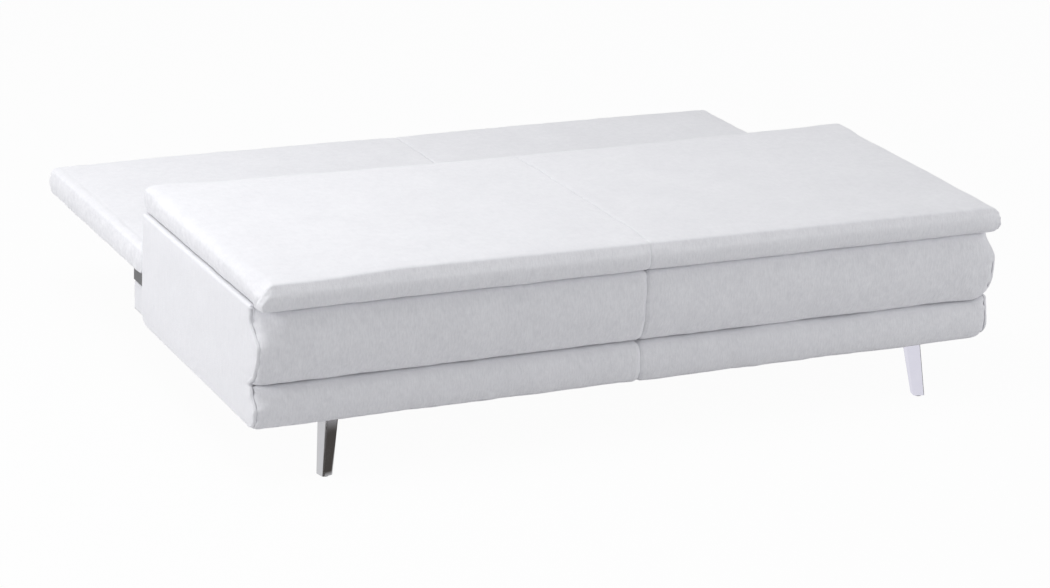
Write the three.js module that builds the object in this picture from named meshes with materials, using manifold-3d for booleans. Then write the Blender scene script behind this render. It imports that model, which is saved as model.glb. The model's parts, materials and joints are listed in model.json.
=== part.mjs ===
// Click clack sofa bed with a bedding box, lying flat. Millimetres, +Z up.
// Built from the front of the seat pad (y = 0) and the middle of the length (x = 0), then centred.
import * as THREE from 'three';
import { mergeVertices } from 'three/addons/utils/BufferGeometryUtils.js';
import Module from 'manifold-3d';

const wasm = await Module();
wasm.setup();

const radians = THREE.MathUtils.degToRad;

// Overall sizes of the bed
const bedLength = 1950;
const seatTop = 484;
const boxBottom = 139;
const backTop = 325;
const backThickness = 70;
const backWidth = 715;
const clearance = 0.3;
const overrun = 5;

// Box, boards and covers
const boardThickness = 16;
const boxFront = 66;
const boxRear = 772;
const boardGap = 0.5;
const sideGap = 3;
const rearBoardDrop = 12;
const sideProud = 4;
const sheetThickness = 8;
const sheetInset = 1.5;
const sheetCorner = 36;
const sheetBevel = 3;
const foamRise = 12;
const coverSkin = 3;
const plinthInset = 16;
const plinthDepth = 111;
const plinthGap = 42;
const floorThickness = 6;
const cornerBlockLength = 215;
const cornerBlockDepth = 110;
const cornerBlockHeight = 30;
const floorLanding = 52;
const crossRailWidth = 60;

// Padded rolls on the front
const rollGap = 1;
const rollSag = 9;
const lowerRollHeight = 101;
const lowerRollNose = 18.5;
const lowerRollBulge = 53;
const lowerRollSeam = 57;
const upperRollNose = 7.5;
const upperRollBulge = 67;
const rollSteps = 14;

// Seat pad
const padThickness = 61;
const padRearInset = 12;
const padNoseRise = 22;
const padCurlRise = 1;
const padTopStart = 52;
const padLipDrop = 25;
const padEndRound = 16;
const padRearRound = 24;
const padRearDraw = 3;
const padRearWall = 12;
const padCrown = 4;
const seamWidth = 14;
const seamDepth = 4;

// Shares of a pad's round end, of its half length and of its depth at which it is drawn
const endShares = [0, 0.12, 0.4, 0.7, 1];
const swellShares = [2 / 3, 1 / 3];
const seamShares = [1, 0.35];
const crownShares = [1 / 4, 1 / 2, 3 / 4];
const roundShare = 0.46;

// Seat frame, wave springs and hinges
const railWidth = 36;
const railHeight = 44;
const seatFrameRise = 17;
const seatFrameFront = 92;
const seatFrameSideGap = 5;
const springWire = 3.8;
const springCount = 6;
const springWaves = 11;
const springLanding = 22;
const springSwing = radians(88);
const springStepsPerWave = 8;
const springSides = 5;
const hingeAxisInset = 8;
const hingeBarrelRadius = 4.2;
const hingePinRadius = 2;
const hingePlate = 2.5;
const hingeKnuckle = 30;
const hingeLeafRise = 18;
const hingeInset = 335;

// Back pad and frame
const backGap = 5;
const backNearRound = 28;
const backFarRound = 32;
const backEndRound = 18;
const backCrown = 5;
const backRailWidth = 40;
const backRailHeight = 30;
const backRailNearInset = 23;
const backRailFarInset = 22;
const backPanelThickness = 4;
const backCoverThickness = 3;

// Click clack fitting: bracket, arm with its toothed sector, pawl and pivot bolt
const pivotInset = 58;
const pivotRise = 31;
const plateThickness = 4;
const plateGap = 1.5;
const armThickness = 3.5;
const bracketHeadRadius = 24;
const bracketShoulder = radians(20);
const bracketToe = 36;
const bracketToeRise = 13;
const bracketStepRise = 6;
const flangeWidth = 40;
const flangeThickness = 3;
const boltRadius = 6;
const boltHeadRadius = 9;
const boltHeadHeight = 3.5;
const boltNutHeight = 5;
const boltRoomRadius = 12;
const boltRoomDepth = 9;
const armHubRadius = 22;
const sectorRadius = 34;
const sectorStart = radians(-160);
const sectorEnd = radians(-73);
const armReach = 170;
const armBarHeight = 24;
const armBarDrop = 13;
const lockAngles = [48, 64, 80].map(radians);
const pawlTipAngle = radians(-66);
const pawlTipWidth = 4.5;
const pawlPinBack = 28;
const pawlPinReach = 46;
const pawlPinRadius = 3.5;
const pawlBossRadius = 7.5;
const pawlBossSlack = 1.5;
const pawlClear = 1.5;
const pawlBodyWidth = 6;
const pawlDrop = radians(12);
const toothDepth = 4.5;
const notchClearance = 0.6;
const stopWidth = 12;
const stopHeight = 6;
const pocketMargin = 3;

// Legs and glides
const legTopSide = 193;
const legTopFront = 61;
const legTopRear = 67;
const legSplaySide = 16;
const legSplayFront = 26;
const legTopWidth = 37;
const legFootWidth = 29;
const legCornerRadius = 5;
const legTurn = radians(12);
const legPlateSize = 84;
const legPlateShift = 21;
const legPlateThickness = 2.7;
const glideHeight = 3;
const glideRadius = 10;

// Levels and lines that the sizes above give
const halfLength = bedLength / 2;
const padBottom = seatTop - padThickness;
const padLipBottom = padBottom - padLipDrop;
const padNoseHeight = padBottom + padNoseRise;
const padNoseCurl = padBottom + padCurlRise;
const padRear = boxRear - padRearInset;
const boardTop = padBottom - boardGap;
const sideTop = padBottom - sideGap;
const rearBoardTop = padBottom - rearBoardDrop;
const seatFrameTop = padBottom + seatFrameRise;
const backBottom = backTop - backThickness;
const backNearEdge = boxRear + backGap;
const backFarEdge = backNearEdge + backWidth;
const plinthRear = boxRear + plinthDepth;
const plinthTop = backBottom - plinthGap;
const pivotY = backNearEdge + pivotInset;
const pivotZ = backBottom + pivotRise;
const pivot = [pivotY, pivotZ];
const hingePlace = halfLength - hingeInset;
const rollBack = boxFront - clearance;
const lowerRollBottom = boxBottom - rollSag;
const lowerRollTop = lowerRollBottom + lowerRollHeight;
const upperRollTop = padLipBottom - rollGap;
const outerX = halfLength + sideProud;
const sheetInnerX = outerX - sheetThickness;
const plinthEnd = halfLength - plinthInset;
const boardOuterX = plinthEnd - coverSkin;
const boardInnerX = boardOuterX - boardThickness;
const insideX = boardInnerX - clearance;
const frontBoardBack = boxFront + boardThickness;
const rearBoardBack = boxRear - coverSkin - clearance;
const rearBoardFront = rearBoardBack - boardThickness;
const plinthBoardBack = plinthRear - coverSkin - clearance;
const plinthBoardFront = plinthBoardBack - boardThickness;
const plinthBoardTop = plinthTop - coverSkin - clearance;
const cornerBlockTop = boxBottom + cornerBlockHeight;
const floorBottom = cornerBlockTop + clearance;
const hingeY = boxRear - hingeAxisInset;
const hingeLeafTop = rearBoardTop + clearance + hingePlate;
const hingeAxisHeight = hingeLeafTop + clearance + hingeBarrelRadius;
const padRearInside = padRear - padRearWall;
const hingeLeafFront = padRearInside - clearance - hingePlate;
const seatRailRear = hingeLeafFront - clearance;
const seatFrameHalf = boardInnerX - seatFrameSideGap;
const springHeight = seatFrameTop + clearance + springWire / 2;
const padRecessTop = springHeight + springWire / 2 + clearance;
const backRailBottom = backBottom + backCoverThickness + clearance;
const backPanelBottom = backRailBottom + backRailHeight + clearance;
const backRecessTop = backPanelBottom + backPanelThickness + clearance;
const backRailNear = backNearEdge + backRailNearInset;
const backRailFar = backFarEdge - backRailFarInset;
const bracketInnerX = plinthEnd - plateThickness;
const armOuterX = bracketInnerX - plateGap;
const armInnerX = armOuterX - armThickness;
const backRailOuterX = armInnerX - clearance;
const armBarTop = pivotZ - armBarDrop + armBarHeight / 2;
const armBarBottom = armBarTop - armBarHeight;
const pocketOuterX = plinthEnd + boltHeadHeight + 2 * clearance;
const legPlateTop = boxBottom - clearance;
const legPlateBottom = legPlateTop - legPlateThickness;

// Finishes
const timber = { color: 0xd2b48a, roughness: 0.7, metalness: 0 };
const chipboard = { color: 0xbb9f77, roughness: 0.85, metalness: 0 };
const hardboard = { color: 0x9a7650, roughness: 0.8, metalness: 0 };
const upholstery = { color: 0xdfe0e5, roughness: 0.95, metalness: 0 };
const lining = { color: 0x3a3b3f, roughness: 0.95, metalness: 0 };
const fittingSteel = { color: 0x55575a, roughness: 0.45, metalness: 0.9 };
const springSteel = { color: 0x8b8e92, roughness: 0.35, metalness: 0.95 };
const chrome = { color: 0xd8dadd, roughness: 0.12, metalness: 1 };
const blackPlastic = { color: 0x1d1d1f, roughness: 0.7, metalness: 0 };

const sofaBed = new THREE.Group();
sofaBed.position.y = -backFarEdge / 2;

function addPiece(name, geometry, finish) {
  const piece = new THREE.Mesh(geometry, new THREE.MeshStandardMaterial(finish));
  piece.name = name;
  geometry.computeVertexNormals();
  sofaBed.add(piece);
}

// The same piece at the right end and, mirrored, at the left end
function addPair(name, geometry, finish) {
  addPiece(`${name}_right`, geometry, finish);
  addPiece(`${name}_left`, mirrored(geometry), finish);
}

function welded(geometry) {
  const copy = geometry.clone();
  copy.deleteAttribute('normal');
  copy.deleteAttribute('uv');
  return mergeVertices(copy);
}

function flipped(geometry) {
  const order = geometry.index.array;
  for (let i = 0; i < order.length; i += 3) {
    [order[i + 1], order[i + 2]] = [order[i + 2], order[i + 1]];
  }
  return geometry;
}

function mirrored(geometry) {
  return flipped(welded(geometry).scale(-1, 1, 1));
}

// Cuts and joins
function solidOf(geometry) {
  const closed = welded(geometry);
  return new wasm.Manifold(new wasm.Mesh({
    numProp: 3,
    vertProperties: new Float32Array(closed.attributes.position.array),
    triVerts: new Uint32Array(closed.index.array),
  }));
}

function geometryOf(solid) {
  const mesh = solid.getMesh();
  const geometry = new THREE.BufferGeometry();
  geometry.setAttribute('position', new THREE.BufferAttribute(new Float32Array(mesh.vertProperties), 3));
  geometry.setIndex(new THREE.BufferAttribute(new Uint32Array(mesh.triVerts), 1));
  return geometry;
}

function join(...geometries) {
  return geometryOf(geometries.map(solidOf).reduce((whole, next) => whole.add(next)));
}

function cut(geometry, ...tools) {
  return geometryOf(tools.map(solidOf).reduce((whole, next) => whole.subtract(next), solidOf(geometry)));
}

// Plain forms between two limits on each axis
function block([x0, x1], [y0, y1], [z0, z1]) {
  const form = new THREE.BoxGeometry(x1 - x0, y1 - y0, z1 - z0);
  return form.translate((x0 + x1) / 2, (y0 + y1) / 2, (z0 + z1) / 2);
}

function rodAlongX(radius, [x0, x1], [y, z], sides = 20) {
  const rod = new THREE.CylinderGeometry(radius, radius, x1 - x0, sides);
  return rod.rotateZ(Math.PI / 2).translate((x0 + x1) / 2, y, z);
}

// A flat outline in Y and Z, run along X
function plateAlongX(outline, [x0, x1], bevel = 0) {
  const shape = new THREE.Shape(outline.map(([y, z]) => new THREE.Vector2(y, z)));
  const plate = new THREE.ExtrudeGeometry(shape, {
    depth: x1 - x0 - 2 * bevel,
    bevelEnabled: bevel > 0,
    bevelThickness: bevel,
    bevelSize: bevel,
    bevelOffset: -bevel,
    bevelSegments: 2,
  });
  const [alongX, alongY, alongZ] = [0, 1, 2].map((axis) => new THREE.Vector3().setComponent(axis, 1));
  return plate.applyMatrix4(new THREE.Matrix4().makeBasis(alongY, alongZ, alongX)).translate(x0 + bevel, 0, 0);
}

// Points on part of an ellipse round a centre, in a plane
function arc([u, v], [reachU, reachV], from, to, steps) {
  return Array.from({ length: steps + 1 }, (_, i) => {
    const angle = from + (to - from) * i / steps;
    return [u + reachU * Math.cos(angle), v + reachV * Math.sin(angle)];
  });
}

function roundArc(centre, radius, from, to, steps) {
  return arc(centre, [radius, radius], from, to, steps);
}

function turned(points, [u0, v0], angle) {
  const [c, s] = [Math.cos(angle), Math.sin(angle)];
  return points.map(([u, v]) => [u0 + (u - u0) * c - (v - v0) * s, v0 + (u - u0) * s + (v - v0) * c]);
}

// Triangles that close an end ring, turning the same way as the ring
function capOf(ring, [u, v]) {
  const outline = ring.map((point) => new THREE.Vector2(point[u], point[v]));
  const faces = THREE.ShapeUtils.triangulateShape(outline, []);
  const sameWay = THREE.ShapeUtils.area(faces[0].map((i) => outline[i])) * THREE.ShapeUtils.area(outline) > 0;
  return sameWay ? faces : faces.map((face) => face.toReversed());
}

// A closed skin through rings of points; the end rings are closed in the plane of two axes
function loft(rings, plane) {
  const count = rings[0].length;
  const last = (rings.length - 1) * count;
  const index = [];
  for (let start = 0; start < last; start += count) {
    for (let side = 0; side < count; side += 1) {
      const [a, b] = [start + side, start + (side + 1) % count];
      index.push(a, b, a + count, b, b + count, a + count);
    }
  }
  capOf(rings[0], plane).forEach(([a, b, c]) => index.push(a, c, b));
  capOf(rings.at(-1), plane).forEach((face) => index.push(...face.map((i) => i + last)));
  const skin = new THREE.BufferGeometry().setFromPoints(rings.flat());
  skin.setIndex(index);
  return volumeOf(skin) < 0 ? flipped(skin) : skin;
}

function volumeOf(geometry) {
  const place = geometry.attributes.position;
  let volume = 0;
  for (let i = 0; i < geometry.index.count; i += 3) {
    const [a, b, c] = [0, 1, 2].map((k) => new THREE.Vector3().fromBufferAttribute(place, geometry.index.getX(i + k)));
    volume += a.dot(b.cross(c)) / 6;
  }
  return volume;
}

// How far a padded form draws in at x: at its round ends, at its middle seam and away from its fullest place
function drawIn(x, half, endRound) {
  const intoRound = Math.max(0, endRound - (half - Math.abs(x)));
  return {
    end: endRound - Math.sqrt(endRound ** 2 - intoRound ** 2),
    seam: seamDepth * Math.max(0, 1 - Math.abs(x) / seamWidth),
    slack: 1 - Math.sin(Math.PI * Math.abs(x) / half),
  };
}

function paddedForm(outlineAt, half, endRound) {
  const right = [
    ...endShares.map((share) => half - endRound * share),
    ...swellShares.map((share) => half * share),
    ...seamShares.map((share) => seamWidth * share),
  ];
  const stations = [...right.map((x) => -x), 0, ...right.toReversed()];
  const rings = stations.map((x) => {
    const outline = outlineAt(drawIn(x, half, endRound));
    return outline.map(([y, z]) => new THREE.Vector3(x, y, z));
  });
  return loft(rings, ['y', 'z']);
}

// Front rolls: their seams, fullest places and how square their halves are
const upperRoll = {
  top: upperRollTop,
  bottom: lowerRollTop + rollGap,
  nose: upperRollNose,
  bulge: upperRollTop - upperRollBulge,
  root: rollBack,
  upperPower: 1,
  lowerPower: 1.5,
};
const lowerRoll = {
  top: lowerRollTop,
  bottom: lowerRollBottom,
  nose: lowerRollNose,
  bulge: lowerRollTop - lowerRollBulge,
  root: lowerRollSeam,
  upperPower: 1,
  lowerPower: 1.8,
};

// The bulging line of one roll, from its top seam to its bottom one
function rollLine(roll, inset) {
  return Array.from({ length: rollSteps + 1 }, (_, i) => {
    const turn = Math.PI * i / rollSteps;
    const upper = i <= rollSteps / 2;
    const reach = upper ? roll.top - roll.bulge : roll.bulge - roll.bottom;
    const swell = Math.abs(Math.sin(turn)) ** (upper ? roll.upperPower : roll.lowerPower);
    return [roll.root - (roll.root - roll.nose - inset) * swell, roll.bulge + reach * Math.cos(turn)];
  });
}

function frontRoll(roll) {
  const behind = roll.root < rollBack ? [[rollBack, roll.bottom], [rollBack, roll.top]] : [];
  const outlineAt = ({ end, seam }) => [...rollLine(roll, end / 2 + seam), ...behind];
  return paddedForm(outlineAt, sheetInnerX - clearance, padEndRound);
}

// Side cover: an upholstered sheet with the outline of the rolls, on a layer of foam behind them
function sideCover() {
  const corner = roundArc([boxRear - sheetCorner, boxBottom + sheetCorner], sheetCorner, -Math.PI / 2, 0, 6);
  const front = [...rollLine(upperRoll, sheetInset), ...rollLine(lowerRoll, sheetInset)];
  const outline = [[boxFront, sideTop], ...front, [boxFront, boxBottom], ...corner, [boxRear, sideTop]];
  const sheet = plateAlongX(outline, [sheetInnerX, outerX], sheetBevel);
  const foamX = [boardOuterX + clearance, sheetInnerX + sheetBevel];
  const foam = block(foamX, [boxFront, boxRear - sheetBevel], [boxBottom + foamRise, sideTop - sheetBevel]);
  return join(sheet, foam);
}

// Side board: high at the box, low at the plinth behind it
function sideBoard() {
  const front = frontBoardBack + clearance;
  const outline = [
    [front, boxBottom], [plinthBoardBack, boxBottom], [plinthBoardBack, plinthBoardTop],
    [rearBoardBack, plinthBoardTop], [rearBoardBack, boardTop], [front, boardTop],
  ];
  return plateAlongX(outline, [boardInnerX, boardOuterX]);
}

function addBox() {
  const inside = [-insideX, insideX];
  const floorFront = frontBoardBack + clearance;
  const blockX = [insideX - cornerBlockLength, insideX];
  const blockZ = [boxBottom, cornerBlockTop];
  const plinthBoardBottom = plinthBoardTop - boardThickness;
  addPiece('front_board', block([-boardOuterX, boardOuterX], [boxFront, frontBoardBack],
    [boxBottom, boardTop]), chipboard);
  addPair('side_board', sideBoard(), chipboard);
  addPiece('rear_board', block(inside, [rearBoardFront, rearBoardBack], [floorBottom, rearBoardTop]), chipboard);
  addPiece('storage_floor', block(inside, [floorFront, rearBoardFront - clearance],
    [floorBottom, floorBottom + floorThickness]), hardboard);
  addPiece('floor_cross_rail', block([-crossRailWidth / 2, crossRailWidth / 2],
    [floorFront, plinthBoardFront - clearance], blockZ), timber);
  addPair('corner_block_front', block(blockX, [floorFront, floorFront + cornerBlockDepth], blockZ), timber);
  addPair('corner_block_rear', block(blockX,
    [rearBoardFront - floorLanding, plinthBoardFront - clearance], blockZ), timber);
  addPiece('plinth_top_board', block(inside, [rearBoardBack + clearance, plinthBoardBack],
    [plinthBoardBottom, plinthBoardTop]), chipboard);
  addPiece('plinth_rear_board', block(inside, [plinthBoardFront, plinthBoardBack],
    [boxBottom, plinthBoardBottom - clearance]), chipboard);
}

// Fabric skin over the top, rear and ends of the plinth
function plinthCover() {
  const whole = block([-plinthEnd, plinthEnd], [boxRear + clearance, plinthRear], [boxBottom, plinthTop]);
  const inside = boardOuterX + clearance;
  return cut(whole, block([-inside, inside],
    [boxRear - overrun, plinthBoardBack + clearance], [boxBottom - overrun, plinthBoardTop + clearance]));
}

function addCovers() {
  const frontLeg = leg(legTopFront, -1, clearance);
  addPiece('front_roll_upper', frontRoll(upperRoll), upholstery);
  addPiece('front_roll_lower', cut(frontRoll(lowerRoll), frontLeg, mirrored(frontLeg)), upholstery);
  addPair('side_cover', sideCover(), upholstery);
  addPiece('rear_cover', block([-boardOuterX, boardOuterX], [rearBoardBack + clearance, boxRear],
    [plinthTop + clearance, rearBoardTop]), upholstery);
  addPiece('plinth_cover', plinthCover(), upholstery);
}

// Legs: a rounded square that tapers to the foot, turned and splayed towards its corner, under a plate
function legRing(width, [x, y, z], turn) {
  const inner = width / 2 - legCornerRadius;
  const corners = [[1, 1], [-1, 1], [-1, -1], [1, -1]].flatMap(([u, v], i) => roundArc(
    [x + u * inner, y + v * inner], legCornerRadius, Math.PI / 2 * i, Math.PI / 2 * (i + 1), 3));
  return turned(corners, [x, y], turn).map(([u, v]) => new THREE.Vector3(u, v, z));
}

function leg(topY, towards, growth = 0) {
  const topX = halfLength - legTopSide;
  const foot = [topX + legSplaySide, topY + towards * legSplayFront, glideHeight + clearance];
  const top = [topX, topY, legPlateTop - legPlateThickness / 2];
  const turn = towards * legTurn;
  const shaft = loft([
    legRing(legFootWidth + 2 * growth, foot, turn),
    legRing(legTopWidth + 2 * growth, top, turn),
  ], ['x', 'y']);
  const reach = legPlateSize / 2 + growth;
  const plateY = topY - towards * legPlateShift;
  const plate = block([topX - reach, topX + reach], [plateY - reach, plateY + reach],
    [legPlateBottom - growth, legPlateTop + growth]);
  return join(shaft, plate);
}

function glide(topY, towards) {
  const form = new THREE.CylinderGeometry(glideRadius, glideRadius, glideHeight, 20).rotateX(Math.PI / 2);
  return form.translate(halfLength - legTopSide + legSplaySide, topY + towards * legSplayFront, glideHeight / 2);
}

function addLegs() {
  for (const [end, topY, towards] of [['front', legTopFront, -1], ['rear', plinthRear - legTopRear, 1]]) {
    addPair(`leg_${end}`, leg(topY, towards), chrome);
    addPair(`glide_${end}`, glide(topY, towards), blackPlastic);
  }
}

// Seat pad: a rounded nose that curls under to its seam, a crowned top and a rear edge held in by its seams
function seatPadOutline({ end, seam, slack }) {
  const nose = seam + end / 3;
  const top = seatTop - end - seam - padCrown * slack;
  const rear = padRear - end / 2 - padRearDraw * slack;
  const curl = new THREE.QuadraticBezierCurve(
    new THREE.Vector2(rollBack, padLipBottom),
    new THREE.Vector2(nose, padNoseCurl),
    new THREE.Vector2(nose, padNoseHeight),
  ).getPoints(6).map((point) => point.toArray());
  const brow = arc([padTopStart, padNoseHeight], [padTopStart - nose, top - padNoseHeight], Math.PI, Math.PI / 2, 7);
  const tailStart = padRear - padRearRound;
  const crown = crownShares.map((share) => [
    padTopStart + (tailStart - padTopStart) * share, top + padCrown * slack * Math.sin(Math.PI * share) / 2]);
  const tail = arc([tailStart, top - padRearRound], [rear - tailStart, padRearRound], Math.PI / 2, 0, 4);
  return [[rear - padRearDraw, padBottom], [rollBack, padBottom], ...curl, ...brow.slice(1), ...crown, ...tail];
}

function seatPad() {
  const form = paddedForm(seatPadOutline, halfLength, padEndRound);
  const inside = seatFrameHalf + clearance;
  return cut(form, block([-inside, inside], [seatFrameFront - clearance, padRearInside],
    [padBottom - overrun, padRecessTop]));
}

function addSeatFrame() {
  const height = [seatFrameTop - railHeight, seatFrameTop];
  const between = [seatFrameFront + railWidth + clearance, seatRailRear - railWidth - clearance];
  const full = [-seatFrameHalf, seatFrameHalf];
  addPiece('seat_rail_front', block(full, [seatFrameFront, seatFrameFront + railWidth], height), timber);
  addPiece('seat_rail_rear', block(full, [seatRailRear - railWidth, seatRailRear], height), timber);
  addPair('seat_rail', block([seatFrameHalf - railWidth, seatFrameHalf], between, height), timber);
  addPiece('seat_rail_middle', block([-railWidth / 2, railWidth / 2], between, height), timber);
}

// Wave spring: a wire swinging evenly from side to side, its ends landing on the front and rear rails
function springPath(x) {
  const front = seatFrameFront + railWidth - springLanding;
  const length = seatRailRear - railWidth + springLanding - front;
  const points = [new THREE.Vector2()];
  for (let i = 0; i < springWaves * springStepsPerWave; i += 1) {
    const heading = springSwing * Math.cos(2 * Math.PI * (i + 1 / 2) / springStepsPerWave);
    points.push(points.at(-1).clone().add(new THREE.Vector2(Math.sin(heading), Math.cos(heading))));
  }
  const scale = length / points.at(-1).y;
  return points.map((point) => new THREE.Vector3(x + point.x * scale, front + point.y * scale, springHeight));
}

function waveSpring(path) {
  const rings = path.map((point, i) => {
    const before = path[Math.max(0, i - 1)];
    const after = path[Math.min(path.length - 1, i + 1)];
    const aside = new THREE.Vector3(after.y - before.y, before.x - after.x, 0).normalize();
    return roundArc([0, 0], springWire / 2, 0, 2 * Math.PI, springSides).slice(1).map(([across, up]) => {
      const place = point.clone().addScaledVector(aside, across);
      return place.setZ(place.z + up);
    });
  });
  return loft(rings, ['x', 'z']);
}

// The least gap between the turns of a spring, for places half a wave or more apart along its wire
function leastGap(path) {
  const gaps = path.flatMap((point, i) => path.slice(i + springStepsPerWave / 2)
    .map((other) => point.distanceTo(other) - springWire));
  return Math.min(...gaps);
}

function addSprings() {
  for (let i = 0; i < springCount; i += 1) {
    const x = bedLength * ((i + 1 / 2) / springCount - 1 / 2);
    addPiece(`wave_spring_${i + 1}`, waveSpring(springPath(x)), springSteel);
  }
  console.log(`least gap in a wave spring: ${leastGap(springPath(0)).toFixed(2)} mm`);
}

// Seat hinges: a leaf on the rear board, a cranked leaf behind the seat rail and a pin through the knuckles
function addSeatHinges() {
  const axis = [hingeY, hingeAxisHeight];
  const half = hingeKnuckle * 3 / 2;
  const middle = hingeKnuckle / 2;
  const span = (from, to) => [hingePlace + from, hingePlace + to];
  const around = [hingeY - hingeBarrelRadius, hingeY + hingeBarrelRadius];
  const bore = rodAlongX(hingePinRadius + clearance, span(-half - overrun, half + overrun), axis, 16);
  const outerKnuckles = [span(-half, -middle - clearance), span(middle + clearance, half)].flatMap((width) => [
    rodAlongX(hingeBarrelRadius, width, axis),
    block(width, around, [hingeLeafTop - hingePlate, hingeAxisHeight]),
  ]);
  const baseLeaf = block(span(-half, half), [rearBoardFront, rearBoardBack], [hingeLeafTop - hingePlate, hingeLeafTop]);
  const arm = [hingeAxisHeight - hingePlate / 2, hingeAxisHeight + hingePlate / 2];
  const padLeaf = join(
    rodAlongX(hingeBarrelRadius, span(-middle, middle), axis),
    block(span(-middle, middle), [hingeLeafFront, hingeY], arm),
    block(span(-half, half), [hingeLeafFront, hingeLeafFront + hingePlate], [arm[0], arm[0] + hingeLeafRise]),
  );
  addPair('seat_hinge_base', cut(join(baseLeaf, ...outerKnuckles), bore), fittingSteel);
  addPair('seat_hinge_leaf', cut(padLeaf, bore), fittingSteel);
  addPair('seat_hinge_pin', rodAlongX(hingePinRadius, span(-half, half), axis, 16), fittingSteel);
}

// Back pad: a slab with a round near edge that clears the box as it swings, a crowned top and a full far edge
function backPadOutline({ end, seam, slack }) {
  const top = backTop - end - seam - backCrown * slack;
  const bottom = backBottom + end / 2;
  const near = backNearEdge + end / 2;
  const far = backFarEdge - end / 2 - seam / 2;
  const [nearRound, farRound] = [backNearRound, backFarRound].map((r) => Math.min(r, (top - bottom) * roundShare));
  const nearArc = (z, from, to) => roundArc([near + nearRound, z], nearRound, from, to, 4);
  const farArc = (z, from, to) => roundArc([far - farRound, z], farRound, from, to, 4);
  const crown = crownShares.toReversed().map((share) => [
    backNearEdge + (backFarEdge - backNearEdge) * share, top + backCrown * slack * Math.sin(Math.PI * share) / 2]);
  return [
    ...nearArc(bottom + nearRound, Math.PI, 3 * Math.PI / 2),
    ...farArc(bottom + farRound, -Math.PI / 2, 0),
    ...farArc(top - farRound, 0, Math.PI / 2),
    ...crown,
    ...nearArc(top - nearRound, Math.PI / 2, Math.PI),
  ];
}

// Room round the bolt's nut, at both ends
function boltRooms() {
  const room = rodAlongX(boltRoomRadius, [backRailOuterX - boltRoomDepth, backRailOuterX + overrun], pivot, 24);
  return [room, mirrored(room)];
}

function backPad() {
  const form = paddedForm(backPadOutline, halfLength, backEndRound);
  const below = backBottom - overrun;
  const inside = backRailOuterX + clearance;
  const recess = block([-inside, inside], [backRailNear - clearance, backRailFar + clearance], [below, backRecessTop]);
  const bracketPocket = block([backRailOuterX, pocketOuterX], [backNearEdge - overrun, plinthRear + pocketMargin],
    [below, pivotZ + bracketHeadRadius + pocketMargin]);
  const armPocket = block([backRailOuterX, armOuterX + clearance], [pivotY, pivotY + armReach + clearance],
    [below, armBarTop + clearance]);
  const pockets = [bracketPocket, armPocket].flatMap((pocket) => [pocket, mirrored(pocket)]);
  return cut(form, recess, ...pockets, ...boltRooms());
}

function addBackFrame() {
  const height = [backRailBottom, backRailBottom + backRailHeight];
  const depth = [backRailNear, backRailFar];
  const full = [-backRailOuterX, backRailOuterX];
  const endRailInner = backRailOuterX - backRailWidth;
  const inside = [-endRailInner + clearance, endRailInner - clearance];
  const between = [backRailNear + backRailWidth + clearance, backRailFar - backRailWidth - clearance];
  addPiece('back_rail_lower', block(inside, [backRailNear, backRailNear + backRailWidth], height), timber);
  addPiece('back_rail_upper', block(inside, [backRailFar - backRailWidth, backRailFar], height), timber);
  addPair('back_rail', cut(block([endRailInner, backRailOuterX], depth, height), boltRooms()[0]), timber);
  addPiece('back_rail_middle', block([-backRailWidth / 2, backRailWidth / 2], between, height), timber);
  addPiece('back_panel', cut(block(full, depth, [backPanelBottom, backPanelBottom + backPanelThickness]),
    ...boltRooms()), hardboard);
  addPiece('back_cover', block(full, depth, [backBottom, backBottom + backCoverThickness]), lining);
}

// Places near the sector, by how far aside of the tooth's line and how far out from the pivot
function nearSector(aside, outward) {
  const [c, s] = [Math.cos(pawlTipAngle), Math.sin(pawlTipAngle)];
  return [pivotY + c * outward - s * aside, pivotZ + s * outward + c * aside];
}

const pawlPin = nearSector(-pawlPinBack, pawlPinReach);

// The pawl as it stands dropped into a notch: a bar past the sector with a tooth at its end
function droppedPawl(growth = 0) {
  const half = pawlTipWidth / 2 + growth;
  const toothTop = sectorRadius - toothDepth - growth;
  const barTop = sectorRadius + pawlClear;
  const bossReach = pawlBossRadius - pawlBossSlack;
  return [
    [-half, toothTop], [half, toothTop], [half, barTop + pawlBodyWidth],
    [-pawlPinBack, pawlPinReach + bossReach], [-pawlPinBack, pawlPinReach - bossReach], [-half, barTop],
  ].map(([aside, outward]) => nearSector(aside, outward));
}

function ratchetArm() {
  const across = [armInnerX, armOuterX];
  const through = [armInnerX - overrun, armOuterX + overrun];
  const sector = plateAlongX([pivot, ...roundArc(pivot, sectorRadius, sectorStart, sectorEnd, 18)], across);
  const notches = lockAngles.map((angle) => plateAlongX(turned(droppedPawl(notchClearance), pivot, -angle), through));
  const bar = block(across, [pivotY, pivotY + armReach], [armBarBottom, armBarTop]);
  const hub = rodAlongX(armHubRadius, across, pivot, 32);
  return cut(join(hub, bar, cut(sector, ...notches)), rodAlongX(boltRadius + clearance, through, pivot, 24));
}

// The pawl, held clear of the sector while the bed lies flat
function ratchetPawl() {
  const across = [armInnerX + clearance, armOuterX - clearance];
  const bar = plateAlongX(turned(droppedPawl(), pawlPin, -pawlDrop), across);
  const bore = rodAlongX(pawlPinRadius + clearance, [armInnerX - overrun, armOuterX + overrun], pawlPin);
  return cut(join(rodAlongX(pawlBossRadius, across, pawlPin, 24), bar), bore);
}

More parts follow.
